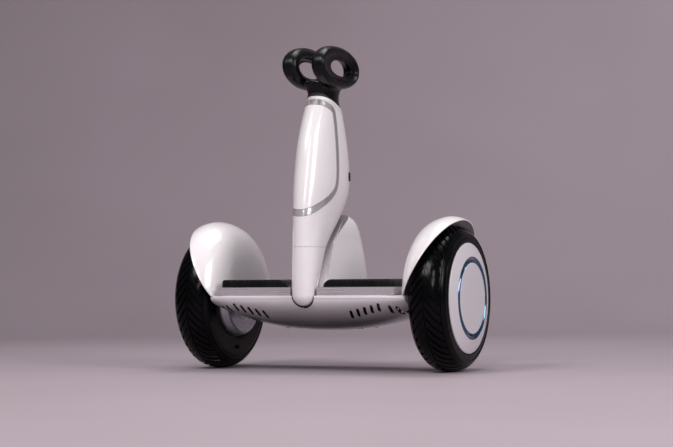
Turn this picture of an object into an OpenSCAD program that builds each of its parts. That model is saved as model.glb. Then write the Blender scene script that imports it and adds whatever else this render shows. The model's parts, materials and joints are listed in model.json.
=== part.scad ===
// Two-wheeled self-balancing riding robot with a leaning steering bar.
// Millimetres. The front faces -Y, the rider's left is +X, +Z is up.
// Origin: on the ground, midway between the wheels, below the wheel axle.

/* [Wheels] */
// Outside diameter of the tyres
tyre_d = 280; // [276:1:284]
// Width of a tyre
tyre_w = 75; // [72:1:78]
// Distance between the two tyre centre planes
track = 501; // [500:1:506]
// Radius of the outer hub disc
disc_r = 105.4; // [103:0.2:106]
// Outer radius of the light ring
ring_r = 79; // [74:1:82]
// Radius of the motor axle
axle_r = 12; // [11:0.5:13]

/* [Deck and hull] */
// Height of the hull's upper edge above the ground
rim_z = 147; // [146:0.5:148]
// Depth of the hull below its upper edge, at the middle
hull_depth = 69; // [66:1:70]
// Half length of the hull, along X
hull_x = 206; // [204:0.5:207]
// Half width of the hull, along Y
hull_y = 130; // [128:0.5:131]
// Height of the deck plate's top
deck_z = 163; // [162:0.5:164]
// Height of the foot mats' top, on the ribs
mat_z = 178; // [176:0.5:179]
// Half length of the deck plate, along X
deck_x = 187; // [184:0.5:187]
// Wall of the plastic shells
wall = 3; // [2.4:0.2:3.4]

/* [Fenders] */
// Crown radius of a fender about the wheel axle
crown_r = 157; // [155:0.5:158]

/* [Steering bar] */
// Height of the lean axis above the ground
lean_z = 147; // [146:0.5:148]
// Height of the seam between the base shell and the upper shells
seam_z = 240; // [235:1:245]
// Height of the bar's lowest point
tip_z = 127.5; // [127:0.5:129]
// Distance of the height post's axis in front of the wheel axle
post_y = 45; // [43:0.5:47]
// Radius of the height post
post_r = 12.5; // [12:0.5:13]

/* [Loop pads] */
// Length of a loop pad, front to back
loop_len = 169; // [165:1:172]
// Height of a loop pad
loop_h = 83; // [81:1:84]
// Thickness of a loop pad, along X
loop_w = 30; // [29:0.5:31]
// Distance from the middle plane to a loop pad's middle
loop_x = 30; // [29.5:0.5:31]
// Height of the loops' centre above the ground
loop_z = 591.5; // [590:0.5:592]

/* [Hidden] */

$fn = 64;
axle_z = tyre_d / 2;         // height of the wheel axle
wheel_x = track / 2;         // middle plane of a wheel
gap = 0.4;                   // clearance between curved neighbours
slice = 40;                  // points round a lofted section

white = [0.88, 0.86, 0.87];
silver = [0.66, 0.64, 0.66];
black = [0.06, 0.06, 0.07];
steel = [0.55, 0.56, 0.58];

// ---------- curves and lofts ----------

// Slope of a keyed curve at key i
function slope(k, i) =
    let (a = max(i - 1, 0), b = min(i + 1, len(k) - 1))
    (k[b][1] - k[a][1]) / (k[b][0] - k[a][0]);

// Index of the span of a keyed curve that holds t
function span(k, t, i = 0) = (i >= len(k) - 2 || t < k[i + 1][0]) ? i : span(k, t, i + 1);

// Smooth value at t of a curve through the keys [position, value]
function curve(k, t) =
    let (
        u = min(max(t, k[0][0]), k[len(k) - 1][0]),
        i = span(k, u),
        h = k[i + 1][0] - k[i][0],
        s = (u - k[i][0]) / h
    )
    (2 * s^3 - 3 * s^2 + 1) * k[i][1] + (s^3 - 2 * s^2 + s) * h * slope(k, i)
    + (3 * s^2 - 2 * s^3) * k[i + 1][1] + (s^3 - s^2) * h * slope(k, i + 1);

// Signed power, for rounded-square outlines
function spow(v, e) = sign(v) * abs(v)^e;

// Level ring: half width a along X, from y0 to y1 along Y, with outline power n
function ring(a, y0, y1, z, n) = [
    for (i = [0 : slice - 1])
        let (t = 360 * i / slice)
        [a * spow(cos(t), 2 / n), (y0 + y1) / 2 + (y1 - y0) / 2 * spow(sin(t), 2 / n), z]
];

// Closed solid through rings that have the same number of points
module loft(rings) {
    n = len(rings[0]);
    m = len(rings);
    sides = [
        for (r = [0 : m - 2], i = [0 : n - 1])
            let (j = (i + 1) % n, a = r * n + i, b = r * n + j)
            each [[a, b + n, b], [a, a + n, b + n]]
    ];
    caps = [[for (i = [0 : n - 1]) i], [for (i = [n - 1 : -1 : 0]) (m - 1) * n + i]];
    polyhedron([for (r = rings) each r], concat(sides, caps));
}

// Rod along X or along Y, from one place to another
module rod_x(r, x0, x1, y = 0, z = 0) {
    translate([min(x0, x1), y, z]) rotate([0, 90, 0]) cylinder(r = r, h = abs(x1 - x0));
}
module rod_y(r, y0, y1, x = 0, z = 0) {
    translate([x, y0, z]) rotate([-90, 0, 0]) cylinder(r = r, h = y1 - y0);
}
module box(lo, hi) {
    translate(lo) cube(hi - lo);
}

// Side-view outline, points as [y, z], made into a block across X
module side_block(points, half_x) {
    translate([-half_x, 0, 0]) rotate([90, 0, 90]) linear_extrude(2 * half_x) polygon(points);
}

// Turned part about the wheel axle; the outline is in [radius, x]
module turned(points) {
    translate([0, 0, axle_z]) rotate([0, 90, 0]) rotate_extrude() polygon(points);
}

// One side of the machine: 1 is the rider's left (+X), -1 the right
module on_side(s) {
    mirror([s < 0 ? 1 : 0, 0, 0]) children();
}

// ---------- hull ----------

function hull_half_y(x) = hull_y - 8 * abs(x / hull_x)^8;
function hull_drop(x) = hull_depth * (1 - abs(x / 235)^2.2)^0.62;

// Cross-section of the hull at x, drawn in by inset, with its top at z_top
function hull_ring(x, inset, z_top) =
    let (hy = hull_half_y(x) - inset, lip = rim_z - 6, d = hull_drop(x) - 6 - inset)
    concat(
        [for (i = [0 : 24])
            let (t = sin(-90 + 7.5 * i))
            [x, hy * t, lip - d * (1 - abs(t)^2.4)^0.62]],
        [[x, hy, z_top], [x, -hy, z_top]]
    );

module hull_body(inset, z_top) {
    end = hull_x - inset;
    loft([for (i = [0 : 22]) hull_ring(end * sin(-90 + 180 * i / 22), inset, z_top)]);
}

// Curved wall of the hull
module hull_skin() {
    difference() {
        hull_body(0, rim_z);
        hull_body(wall, rim_z + 5);
    }
}

// Upright slot with round ends, cut through the front or rear wall
module vent(x, z, lean) {
    translate([x, 0, z]) rotate([90, lean, 0])
        linear_extrude(2 * hull_y + 20, center = true) {
            square([5, 10], center = true);
            for (s = [-1, 1]) translate([0, 5 * s]) circle(2.5, $fn = 16);
        }
}

hatch_x = 88;                // half length of the battery hatch
hatch_y = 46;                // half width of the battery hatch
screw_x = 79;                // places of the hatch's screws
screw_y = 37;
tongue_r = 24;               // radius of the notch round the steering bar's tip
tongue_gap = 27.8;           // half width of the notch at the deck
port_x = 70;                 // charge port and power button, left and right of the middle
port_z = 122;
port_r = 13;
port_face = 130.2;           // rear face of the port and of the button's guide
hub_room = 82;               // radius of the recess for a wheel's inner cover

module lower_hull() {
    color(white) difference() {
        union() {
            hull_skin();
            // walls of the wheel recesses, and the tabs that the hatch screws hold in
            intersection() {
                hull_body(0, rim_z);
                union() {
                    for (s = [-1, 1]) rod_x(hub_room + wall, s * 186.5, s * hull_x, 0, axle_z);
                    for (sx = [-1, 1], sy = [-1, 1])
                        box([sx * 85 - 15, sy * 44 - 14, 89.7], [sx * 85 + 15, sy * 44 + 14, 92.7]);
                }
            }
        }
        for (sx = [-1, 1], sy = [-1, 1])
            translate([sx * screw_x, sy * screw_y, 80]) cylinder(r = 2.05, h = 20);
        // vents: a row that falls towards the middle, and a short pair outside it
        for (s = [-1, 1]) {
            for (i = [0 : 4]) vent(s * (92 + 15 * i), 111 + 3.4 * i, -s * 14);
            for (i = [0 : 1]) vent(s * (172 + 12 * i), 121 - 2 * i, -s * 14);
        }
        // belly hatch
        box([-hatch_x - gap, -hatch_y - gap, 60], [hatch_x + gap, hatch_y + gap, 89.6]);
        // room for the wheel hubs, and the axle holes
        for (s = [-1, 1]) rod_x(hub_room, s * 189.5, s * 220, 0, axle_z);
        for (s = [-1, 1]) rod_x(axle_r + gap, s * 150, s * 220, 0, axle_z);
        // notch for the steering bar
        rod_y(tongue_r, -160, -90, 0, lean_z);
        translate([0, -90, 0]) rotate([90, 0, 0]) linear_extrude(70) polygon([
            [-tongue_r, lean_z], [tongue_r, lean_z], [tongue_gap, 163], [-tongue_gap, 163]
        ]);
        // holes for the charge port, its hinge ears and the power button
        for (s = [-1, 1]) rod_y(port_r + gap, 90, 140, s * port_x, port_z);
        box([port_x - 10.4, 120, port_z + 5], [port_x + 10.4, 140, port_z + 18.4]);
    }
}

module battery_hatch() {
    color([0.5, 0.5, 0.52]) difference() {
        intersection() {
            hull_skin();
            box([-hatch_x, -hatch_y, 60], [hatch_x, hatch_y, 110]);
        }
        translate([0, 0, 60]) cylinder(r = 8, h = 60);
        for (sx = [-1, 1], sy = [-1, 1]) translate([sx * screw_x, sy * screw_y, 60]) {
            cylinder(r = 2.2, h = 60);
            cylinder(r = 4.3, h = 24.6);
        }
    }
}

// Threaded insert at the middle of the belly, for the post of a stand
module stand_socket() {
    color([0.72, 0.6, 0.32]) translate([0, 0, 78.3]) difference() {
        cylinder(r = 8, h = 12);
        translate([0, 0, -1]) cylinder(r = 4.25, h = 14);
    }
}

module hatch_screws() {
    color(steel) for (sx = [-1, 1], sy = [-1, 1])
        translate([sx * screw_x, sy * screw_y, 0]) {
            translate([0, 0, 82]) cylinder(r = 4, h = 2.6);
            translate([0, 0, 84.6]) cylinder(r = 2, h = 8);
        }
}

// ---------- inside the hull ----------

frame_z = 124;               // underside of the cast frame's floor

module battery_pack() {
    color([0.2, 0.25, 0.5]) box([-105, -50, 93], [105, 50, 121]);
}

module chassis_frame() {
    color(silver) difference() {
        union() {
            box([-186, -78, frame_z], [186, 84, frame_z + 5]);
            for (s = [-1, 1]) {
                box([-186, 44 * s - 3, frame_z], [186, 44 * s + 3, frame_z + 14]);
                box([s * 169 - 17, -24, frame_z], [s * 169 + 17, 24, axle_z + 1]);
            }
            box([-26, -78, frame_z], [26, -44, frame_z + 5]);
        }
        for (s = [-1, 1]) rod_x(axle_r, s * 150, s * 190, 0, axle_z);
        // wiring openings
        for (s = [-1, 1]) box([s * 95 - 20, -30, 120], [s * 95 + 20, 30, 150]);
    }
}

// Upper halves of the axle seats, each with two screws
module axle_clamps() {
    color(steel) for (s = [-1, 1]) difference() {
        union() {
            box([s * 169 - 15, -24, axle_z + 1.4], [s * 169 + 15, 24, axle_z + 17]);
            for (sy = [-1, 1]) translate([s * 169, 18 * sy, axle_z + 17]) cylinder(r = 4, h = 2.5);
        }
        rod_x(axle_r + 0.05, s * 150, s * 190, 0, axle_z);
    }
}

module control_board() {
    color([0.1, 0.35, 0.2]) {
        box([-62, -36, frame_z + 8], [62, 36, frame_z + 9.6]);
        for (sx = [-1, 1], sy = [-1, 1])
            translate([sx * 56, sy * 30, frame_z + 5]) cylinder(r = 3, h = 3);
        box([-16, -16, frame_z + 9.6], [16, 16, frame_z + 12]);
        for (i = [-1 : 1]) translate([i * 22 - 22, 26, frame_z + 9.6]) cylinder(r = 5, h = 16);
    }
}

module heat_sink() {
    color(silver) translate([42, 0, frame_z + 9.6]) {
        box([-14, -26, 0], [14, 26, 3]);
        for (i = [0 : 5]) box([-14 + 5.2 * i, -26, 3], [-12 + 5.2 * i, 26, 16]);
    }
}

// ---------- steering pivot, in the chassis ----------

shaft_r = 8;                 // lean shaft
bearing_r = 13.5;            // outside of its two bearings

module pivot_housing() {
    color(steel) difference() {
        union() {
            rod_y(16, -78, -50, 0, lean_z);
            box([-16, -78, frame_z + 5], [16, -50, lean_z]);
        }
        rod_y(bearing_r + 0.03, -79, -69, 0, lean_z);
        rod_y(bearing_r + 0.03, -59, -49, 0, lean_z);
        rod_y(shaft_r + 2, -80, -48, 0, lean_z);
    }
}

module pivot_bearings() {
    color([0.7, 0.7, 0.72]) for (y = [-78, -59]) difference() {
        rod_y(bearing_r, y, y + 9, 0, lean_z);
        rod_y(shaft_r + 0.03, y - 1, y + 10, 0, lean_z);
    }
}

// Torsion spring that brings the bar upright
spring_turns = 3;
spring_steps = 16;
function spring_ring(i) =
    let (a = 360 * i / spring_steps, y = -39 + 3.4 * i / spring_steps)
    [for (k = [0 : 5])
        let (b = -60 * k, r = 11 + 1.2 * cos(b))
        [r * sin(a), y + 1.2 * sin(b), lean_z + r * cos(a)]];

module centering_spring() {
    color(steel) loft([for (i = [0 : spring_turns * spring_steps]) spring_ring(i)]);
}

module lean_sensor() {
    color([0.1, 0.35, 0.2]) {
        box([-10, -26, frame_z + 9.6], [10, -24.4, lean_z + 8]);
        rod_y(3, -27.4, -26, 0, lean_z);
    }
}

// ---------- charge port, power button ----------

module charge_port() {
    color(black) {
        difference() {
            rod_y(port_r, 104, port_face, port_x, port_z);
            rod_y(7, 112, port_face + 1, port_x, port_z);
        }
        // ears of the flap's hinge
        for (s = [-1, 1]) difference() {
            union() {
                box([port_x + s * 8.5 - 1.5, 124, port_z + 8],
                    [port_x + s * 8.5 + 1.5, port_face, flap_hinge_z + 2.6]);
                box([port_x + s * 8.5 - 1.5, 124, port_z + 11.2],
                    [port_x + s * 8.5 + 1.5, flap_y + 2.4, flap_hinge_z + 2.6]);
            }
            rod_x(1.65, port_x - 12, port_x + 12, flap_y, flap_hinge_z);
        }
    }
    color([0.72, 0.6, 0.32]) for (i = [0 : 2])
        rod_y(1.2, 111, 122, port_x + 3.5 * cos(120 * i + 90), port_z + 3.5 * sin(120 * i + 90));
}

// Rubber flap; it swings up on the pin that runs along its upper edge
flap_hinge_z = port_z + 15;
flap_y = 132.4;
module charge_port_cover() {
    color(black) {
        rod_y(12.2, port_face + 0.4, flap_y + 0.2, port_x, port_z);
        box([port_x - 6, port_face + 0.8, port_z + 8], [port_x + 6, flap_y + 0.2, flap_hinge_z]);
        rod_x(1.6, port_x - 10, port_x + 10, flap_y, flap_hinge_z);
    }
}

module power_button() {
    color([0.7, 0.7, 0.72]) {
        rod_y(9.5, 125.6, port_face + 1, -port_x, port_z);
        rod_y(4, 113, 125.6, -port_x, port_z);
    }
}

// Sleeve in the hull's rear wall that the power button slides in
module button_guide() {
    color(black) difference() {
        rod_y(port_r, 108, port_face, -port_x, port_z);
        rod_y(9.8, 123, port_face + 1, -port_x, port_z);
        rod_y(4.3, 107, port_face + 1, -port_x, port_z);
    }
}

// ---------- deck ----------

// Plan of the deck plate: straight sides, notched for the bar at the front
function deck_plan(in) = [
    [-tongue_gap - in, -128 + in], [-deck_x + in, -128 + in], [-deck_x + in, 124 - in],
    [deck_x - in, 124 - in], [deck_x - in, -128 + in], [tongue_gap + in, -128 + in],
    [tongue_gap + in, -84 + in], [-tongue_gap - in, -84 + in]
];

module deck_plate() {
    color(silver) difference() {
        translate([0, 0, rim_z]) linear_extrude(deck_z - rim_z) polygon(deck_plan(0));
        translate([0, 0, rim_z - 1]) linear_extrude(deck_z - rim_z + 1 - wall)
            polygon(deck_plan(wall));
        // opening under the fin, and the slots that the axles pass through
        box([-20, -90, 140], [20, 90, 170]);
        for (s = [-1, 1]) box([s * 180 - 10, -14, 140], [s * 180 + 10, 14, axle_z + 14]);
        // recesses for the foot sensors
        for (s = [-1, 1])
            box([s * 112 - 60.5, -80.5, deck_z - 1.2], [s * 112 + 60.5, 80.5, deck_z + 1]);
    }
}

module foot_sensors() {
    color([0.75, 0.6, 0.25]) for (s = [-1, 1])
        box([s * 112 - 60, -80, deck_z - 1.2], [s * 112 + 60, 80, deck_z]);
}

// Foot mat: its inner end, beside the steering bar, rises in a quarter round
mat_in = 38;
mat_out = 184;
mat_round = 20;              // length of the quarter round
rib_pitch = 9.4;
module mat_plan() {
    polygon(concat(
        [for (i = [0 : 3]) [mat_in + 3 - 3 * sin(30 * i), -119 - 3 * cos(30 * i)]],
        [for (i = [0 : 6]) [mat_in + 8 - 8 * cos(15 * i), 112 + 8 * sin(15 * i)]],
        [for (i = [0 : 6]) [mat_out - 8 + 8 * sin(15 * i), 112 + 8 * cos(15 * i)]],
        [for (i = [0 : 6]) [mat_out - 8 + 8 * cos(15 * i), -114 - 8 * sin(15 * i)]]
    ));
}

module foot_mat(s) {
    color(black) on_side(s) difference() {
        intersection() {
            translate([0, 0, deck_z]) linear_extrude(mat_z - deck_z) mat_plan();
            translate([0, 150, 0]) rotate([90, 0, 0]) linear_extrude(300) polygon(concat(
                [[mat_in, deck_z - 1]],
                [for (i = [0 : 8]) [mat_in + mat_round * (1 - cos(11.25 * i)),
                                    deck_z + 1 + (mat_z - deck_z - 1) * sin(11.25 * i)]],
                [[mat_out - 5, mat_z], [mat_out, mat_z - 4], [mat_out, deck_z - 1]]
            ));
        }
        // grooves between the ribs, which run front to back
        for (i = [0 : 12]) translate([mat_in + mat_round + 3 + rib_pitch * i, 0, 0])
            box([0, -130, mat_z - 2.5], [3.2, 130, mat_z + 1]);
    }
}
module foot_mat_left() { foot_mat(1); }
module foot_mat_right() { foot_mat(-1); }

// ---------- fenders ----------

// Radius of the fender's outside about the wheel axle, against x
fender_keys = [
    [187.5, 30], [189, 70], [192, 96], [200, 122], [212, 139], [226, 149],
    [240, crown_r - 2.5], [255, crown_r], [270, crown_r - 2], [280, crown_r - 6]
];
fender_xs = [187.5, 188.5, 190, 193, 197, 203, 210, 218, 227, 237, 247, 257, 266, 274, 280];

// Point of the fender's inside, one wall in from the outside at x
function fender_inside(x) =
    let (a = atan((curve(fender_keys, x + 0.2) - curve(fender_keys, x - 0.2)) / 0.4))
    [curve(fender_keys, x) - wall * cos(a), x + wall * sin(a)];

function fender_edge_x(z) = 199 + (z - 141) * 0.545;   // outer edge, seen from the front

module fender(s) {
    color(white) on_side(s) difference() {
        intersection() {
            turned(concat(
                [for (x = fender_xs) [curve(fender_keys, x), x]],
                [for (i = [len(fender_xs) - 1 : -1 : 1]) fender_inside(fender_xs[i])],
                [[30, 187.5 + wall]]
            ));
            // what lies inboard of the slanted outer edge, above the hull
            rotate([90, 0, 0]) linear_extrude(400, center = true) polygon([
                [180, rim_z], [fender_edge_x(rim_z), rim_z],
                [fender_edge_x(285), 285], [fender_edge_x(285) + 4, 320], [180, 320]
            ]);
        }
        rod_x(axle_r + 4, 170, 215, 0, axle_z);
    }
}
module fender_left() { fender(1); }
module fender_right() { fender(-1); }

// ---------- center fin ----------

fin_base = deck_z;
fin_top = 307;
fin_front = [[163, -92], [178, -86], [220, -60], [250, -38], [280, -3], [297, 24], [307, 52]];
fin_rear = [[163, 153], [181, 152], [220, 144], [250, 133], [280, 115], [297, 96], [307, 70]];
fin_half = [
    [163, 33], [182, 30.5], [210, 26.5], [239, 23], [255, 21.5], [271, 20.8], [285, 18.5],
    [297, 14], [304, 8], [307, 3]
];

// Level ring of the fin: a nearly flat front with square corners, sides that close at the rear
function fin_ring(half, y0, y1, z) = concat(
    [for (i = [0 : 20])
        let (t = 180 * i / 20)
        [half * spow(cos(t), 2 / 2.6), y0 + (y1 - y0) * spow(sin(t), 2 / 2.6), z]],
    [for (i = [1 : 7]) let (u = i / 4 - 1) [half * u, y0 - 1.5 * (1 - u * u), z]]
);

module fin_body(inset) {
    top = fin_top - inset;
    loft([for (i = [0 : 16])
        let (z = fin_base + (top - fin_base) * sin(90 * i / 16), k = inset)
        fin_ring(max(curve(fin_half, z) - k, 1), curve(fin_front, z) + k,
                 curve(fin_rear, z) - k, i == 0 && inset > 0 ? z - 1 : z)
    ]);
}

// Rear edge of the band on the fin's front, in side view; it widens over the top
band_edge = [
    [150, -97], [163, -90], [178, -84], [220, -57.5], [250, -35.5], [262, -21], [271, -8],
    [285, 18], [297, 46], [303, 62], [309, 80]
];
function fin_line(in) = [for (i = [0 : 12])
    let (z = 150 + 159 * i / 12) [curve(band_edge, z) + in, z]];
module fin_band(in) {
    side_block(concat([[-150, 320], [-150, 150]], fin_line(in), [[84 + in, 320]]), 60);
}

// Block of the tail lamp on the fin's rear edge
module tail_block(in) {
    box([-11 + in, 90, 205 + in], [11 - in, 160, 246 - in]);
}

module center_fin() {
    color(white) difference() {
        fin_body(0);
        fin_body(wall);
        fin_band(0);
        tail_block(0);
    }
}

module fin_trim() {
    color([0.6, 0.58, 0.6]) intersection() {
        difference() {
            fin_body(0);
            fin_body(wall);
        }
        fin_band(-0.2);
    }
}

module tail_light() {
    color([0.6, 0.05, 0.05]) intersection() {
        difference() {
            fin_body(0.4);
            fin_body(wall);
        }
        tail_block(0.2);
    }
}

// ---------- motors and wheels ----------

module axle(s) {
    color(steel) on_side(s) {
        rod_x(axle_r, 152, 268, 0, axle_z);
        rod_x(axle_r - 2, 268, 281, 0, axle_z);
        difference() {
            rod_x(stator_r, 247.5, 253.5, 0, axle_z);
            for (i = [0 : 5]) rod_x(15, 245, 256, 41 * cos(60 * i), axle_z + 41 * sin(60 * i));
        }
    }
}
module axle_left() { axle(1); }
module axle_right() { axle(-1); }

// Slotted iron ring of each hub motor
stator_teeth = 18;
stator_r = 67;               // inside of the ring, where its spider holds it
module motor_stators() {
    color([0.6, 0.35, 0.2]) for (s = [-1, 1]) on_side(s) difference() {
        rod_x(88, 236, 265, 0, axle_z);
        rod_x(stator_r, 235, 266, 0, axle_z);
        for (i = [0 : stator_teeth - 1])
            translate([0, 0, axle_z]) rotate([360 * i / stator_teeth, 0, 0])
                box([235, 73, -3.5], [266, 85, 3.5]);
    }
}

// Tyre section: an ellipse round the rim's seat, hollow inside
tyre_mid_r = 106;
tyre_wall = 9;
apron_r = 77;                // inner edge of the tyre's inner side
rim_r = 104.2;               // seat of the tyre's beads
function tyre_arc(in, a0, a1, n) = [
    for (i = [0 : n])
        let (a = a0 + (a1 - a0) * i / n)
        [tyre_mid_r + (tyre_d / 2 - tyre_mid_r - in) * sin(a),
         wheel_x + (tyre_w / 2 - in) * cos(a)]
];
module tyre(s) {
    color(black) on_side(s) difference() {
        turned(concat(
            [[rim_r, 284.4], [disc_r + 0.3, 284.4], [disc_r + 0.3, wheel_x + tyre_w / 2 - 0.6]],
            tyre_arc(0, 4, 180, 24),
            // apron over the rim's inner side
            [[apron_r, wheel_x - tyre_w / 2 + 0.8], [apron_r, 216.6], [rim_r, 216.6],
             [rim_r, wheel_x - tyre_w / 2 + tyre_wall + 1]],
            tyre_arc(tyre_wall, 180, 0, 16),
            [[rim_r, wheel_x + tyre_w / 2 - tyre_wall - 1]]
        ));
        rod_x(4, 205, 220, 0, axle_z - valve_r);
    }
}
module tyre_left() { tyre(1); }
module tyre_right() { tyre(-1); }

// Rotor housing and rim in one: tyre seat, side wall, bearing seat
bolt_circle = 60;
valve_r = 98;                // distance of the valve from the wheel axle
module rim(s) {
    color(silver) on_side(s) difference() {
        turned([
            [15.5, 219], [24, 219], [24, 221], [96, 221], [104, 217], [104, 284], [96, 281],
            [24, 281], [24, 284], [0, 284], [0, 282.5], [15.5, 282.5], [15.5, 272], [24, 272],
            [24, 276], [95.2, 276], [95.2, 226], [24, 226], [24, 230], [15.5, 230]
        ]);
        for (i = [0 : 5])
            rod_x(2.5, 210, 290, bolt_circle * cos(60 * i), axle_z + bolt_circle * sin(60 * i));
        rod_x(2.7, 210, 222, 0, axle_z - valve_r);
    }
}
module rim_left() { rim(1); }
module rim_right() { rim(-1); }

module magnet_ring(s) {
    color(steel) on_side(s) difference() {
        rod_x(95.2, 230, 271, 0, axle_z);
        rod_x(89, 229, 272, 0, axle_z);
    }
}
module magnet_ring_left() { magnet_ring(1); }
module magnet_ring_right() { magnet_ring(-1); }

module wheel_bearings(s) {
    color([0.7, 0.7, 0.72]) on_side(s) {
        difference() {
            rod_x(15.5, 221, 229, 0, axle_z);
            rod_x(axle_r + 0.03, 220, 230, 0, axle_z);
        }
        difference() {
            rod_x(15.5, 273, 281, 0, axle_z);
            rod_x(axle_r - 2 + 0.03, 272, 282, 0, axle_z);
        }
    }
}
module wheel_bearings_left() { wheel_bearings(1); }
module wheel_bearings_right() { wheel_bearings(-1); }

// Outer hub disc: a shallow dome with a groove for the light ring
disc_x = 289;                // x of the disc's rounded edge
dome = 7;                    // rise of the dome from its edge to the light ring
groove = 11;                 // width of the light ring
function dome_x(r) = disc_x + dome * (1 - (r / disc_r)^2) / (1 - (ring_r / disc_r)^2);
module outer_cover(s) {
    color(white) on_side(s) turned(concat(
        [[0, 285.5], [disc_r - 1, 285.5], [disc_r, 286.5], [disc_r, 288], [disc_r - 1, disc_x]],
        [for (i = [1 : 6]) let (r = disc_r - (disc_r - ring_r) * i / 6) [r, dome_x(r)]],
        [[ring_r, 290], [0, 290]]
    ));
}
module outer_cover_left() { outer_cover(1); }
module outer_cover_right() { outer_cover(-1); }

// Blue light ring: a hollow-faced band in the disc's groove
module light_ring(s) {
    color([0.08, 0.4, 0.6]) on_side(s) turned(concat(
        [[ring_r - groove, 290], [ring_r, 290]],
        [for (i = [0 : 6])
            [ring_r - groove * i / 6, disc_x + dome - 0.3 - 3 * sin(30 * i)]]
    ));
}
module light_ring_left() { light_ring(1); }
module light_ring_right() { light_ring(-1); }

module hub_cap(s) {
    color(white) on_side(s) turned(concat(
        [[0, 290], [ring_r - groove, 290]],
        [for (i = [0 : 5])
            let (r = (ring_r - groove) * (1 - i / 5))
            [r, disc_x + dome + 1.6 * (1 - (r / (ring_r - groove))^2)]]
    ));
}
module hub_cap_left() { hub_cap(1); }
module hub_cap_right() { hub_cap(-1); }

// Stepped cover on the wheel's inner side, round the axle
module inner_cover(s) {
    color([0.75, 0.74, 0.77]) on_side(s) turned([
        [14, 195], [40, 195], [44, 197], [66, 197], [71, 199.5], [74, 205], [76.4, 213],
        [76.4, 218.5], [73.4, 218.5], [73.4, 214], [71, 206], [68.5, 201.5], [66, 200],
        [42, 200], [40, 198], [14, 198]
    ]);
}
module inner_cover_left() { inner_cover(1); }
module inner_cover_right() { inner_cover(-1); }

module valve_stem(s) {
    color(black) on_side(s) {
        rod_x(2.6, 208, 221, 0, axle_z - valve_r);
        rod_x(3.4, 208, 214, 0, axle_z - valve_r);
    }
}
module valve_stem_left() { valve_stem(1); }
module valve_stem_right() { valve_stem(-1); }

// ---------- steering bar ----------

bar_top = 545;
bar_front = [
    [tip_z, -132], [132, -141.5], [142, -147], [165, -147.5], [200, -147], [246, -146],
    [320, -142], [400, -128], [450, -115], [500, -93], [545, -68]
];
bar_rear = [
    [tip_z, -126], [132, -111], [142, -102], [165, -96], [200, -80], [246, -51],
    [290, -3], [325, 32], [352, 47], [400, 47], [450, 38], [515, 16], [545, 6]
];
bar_half = [
    [tip_z, 5], [132, 14.5], [142, 21], [165, 23.7], [200, 25.7], [246, 27.3],
    [320, 34], [360, 37.5], [420, 37], [480, 33], [520, 28.5], [545, 25]
];
bar_power = 2.3;

function bar_ring(z, in) = ring(
    curve(bar_half, z) - in, curve(bar_front, z) + in, curve(bar_rear, z) - in, z, bar_power
);
function levels(z0, z1, n) = [for (i = [0 : n]) z0 + (z1 - z0) * i / n];

module bar_solid() {
    loft([for (z = concat([tip_z, 129, 131, 135, 141], levels(148, bar_top, 30))) bar_ring(z, 0)]);
}
module bar_hollow() {
    loft([for (z = concat([131.5, 135, 141], levels(148, bar_top + 1, 24))) bar_ring(z, wall)]);
}
module bar_skin() {
    difference() {
        bar_solid();
        bar_hollow();
    }
}

// Everything above a plane that falls towards the rear, z at y = -45
module above_slope(z) {
    side_block([[-200, z + 55.8], [100, z - 52.2], [100, 700], [-200, 700]], 60);
}
collar_z = 518;              // lower edge of the top collar, at the post
collar_h = 7;                // height of the collar

// Side-view outline round the front panel and its bright strip, by step along it
panel_y = [
    [0, -170], [1, -143], [2, -106], [3, -71], [4, -51], [5, -44.5], [6, -43], [7, -43],
    [8, -46], [9, -62], [10, -90], [11, -170]
];
panel_z = [
    [0, 296.5], [1, 298.5], [2, 315], [3, 334], [4, 354], [5, 385], [6, 440], [7, 492],
    [8, 510], [9, 521], [10, 532], [11, 560]
];
function panel_point(t) = [curve(panel_y, t), curve(panel_z, t)];

// The same outline drawn in by g
function panel_outline(g) = [
    for (i = [0 : 44])
        let (t = i / 4, d = panel_point(t + 0.05) - panel_point(t - 0.05), n = norm(d))
        panel_point(t) + g * [-d[1], d[0]] / n
];
trim_w = 11.5;               // width of the bright strip

module bar_front_panel() {
    color(white) intersection() {
        bar_skin();
        side_block(panel_outline(trim_w), 60);
    }
}

// Bright strip round the front panel
module bar_trim() {
    color([0.85, 0.85, 0.87]) intersection() {
        bar_skin();
        difference() {
            side_block(panel_outline(0.2), 60);
            side_block(panel_outline(trim_w - 0.2), 61);
        }
    }
}

module bar_rear_shell() {
    color(white) difference() {
        bar_skin();
        side_block(panel_outline(0), 60);
        box([-60, -200, 100], [60, 100, seam_z + 0.2]);
        above_slope(collar_z - 0.2);
        release_slot(3.3, 20, 40);
    }
}

module bar_base_shell() {
    color(white) difference() {
        bar_skin();
        box([-60, -200, seam_z - 0.2], [60, 100, 700]);
        // rear hole for the pivot shaft and its bracket
        rod_y(11, -112, -60, 0, lean_z);
    }
}

module top_collar() {
    color([0.85, 0.84, 0.85]) difference() {
        intersection() {
            bar_solid();
            above_slope(collar_z);
        }
        above_slope(collar_z + collar_h);
        translate([0, -post_y, 400]) cylinder(r = 17, h = 200);
    }
}

// Steel arm inside the base, from the lean shaft up to the slide tube
module bar_bracket() {
    color(steel) difference() {
        union() {
            rod_y(12, -130, -114, 0, lean_z);
            side_block([
                [-129, lean_z + 9], [-115, lean_z + 9], [-100, 205], [-34, 284], [-34, 300],
                [-60, 300], [-122, 215]
            ], 9);
            translate([0, -post_y, 284]) cylinder(r = 19, h = 34);
        }
        rod_y(shaft_r + 0.05, -122, -100, 0, lean_z);
        translate([0, -post_y, 290]) cylinder(r = 16, h = 40);
    }
}

module pivot_shaft() {
    color([0.75, 0.75, 0.78]) difference() {
        union() {
            rod_y(shaft_r, -122, -30, 0, lean_z);
            rod_y(shaft_r + 2, -113, -79, 0, lean_z);
        }
        rod_y(3, -34, -29, 0, lean_z);
    }
}

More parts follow.
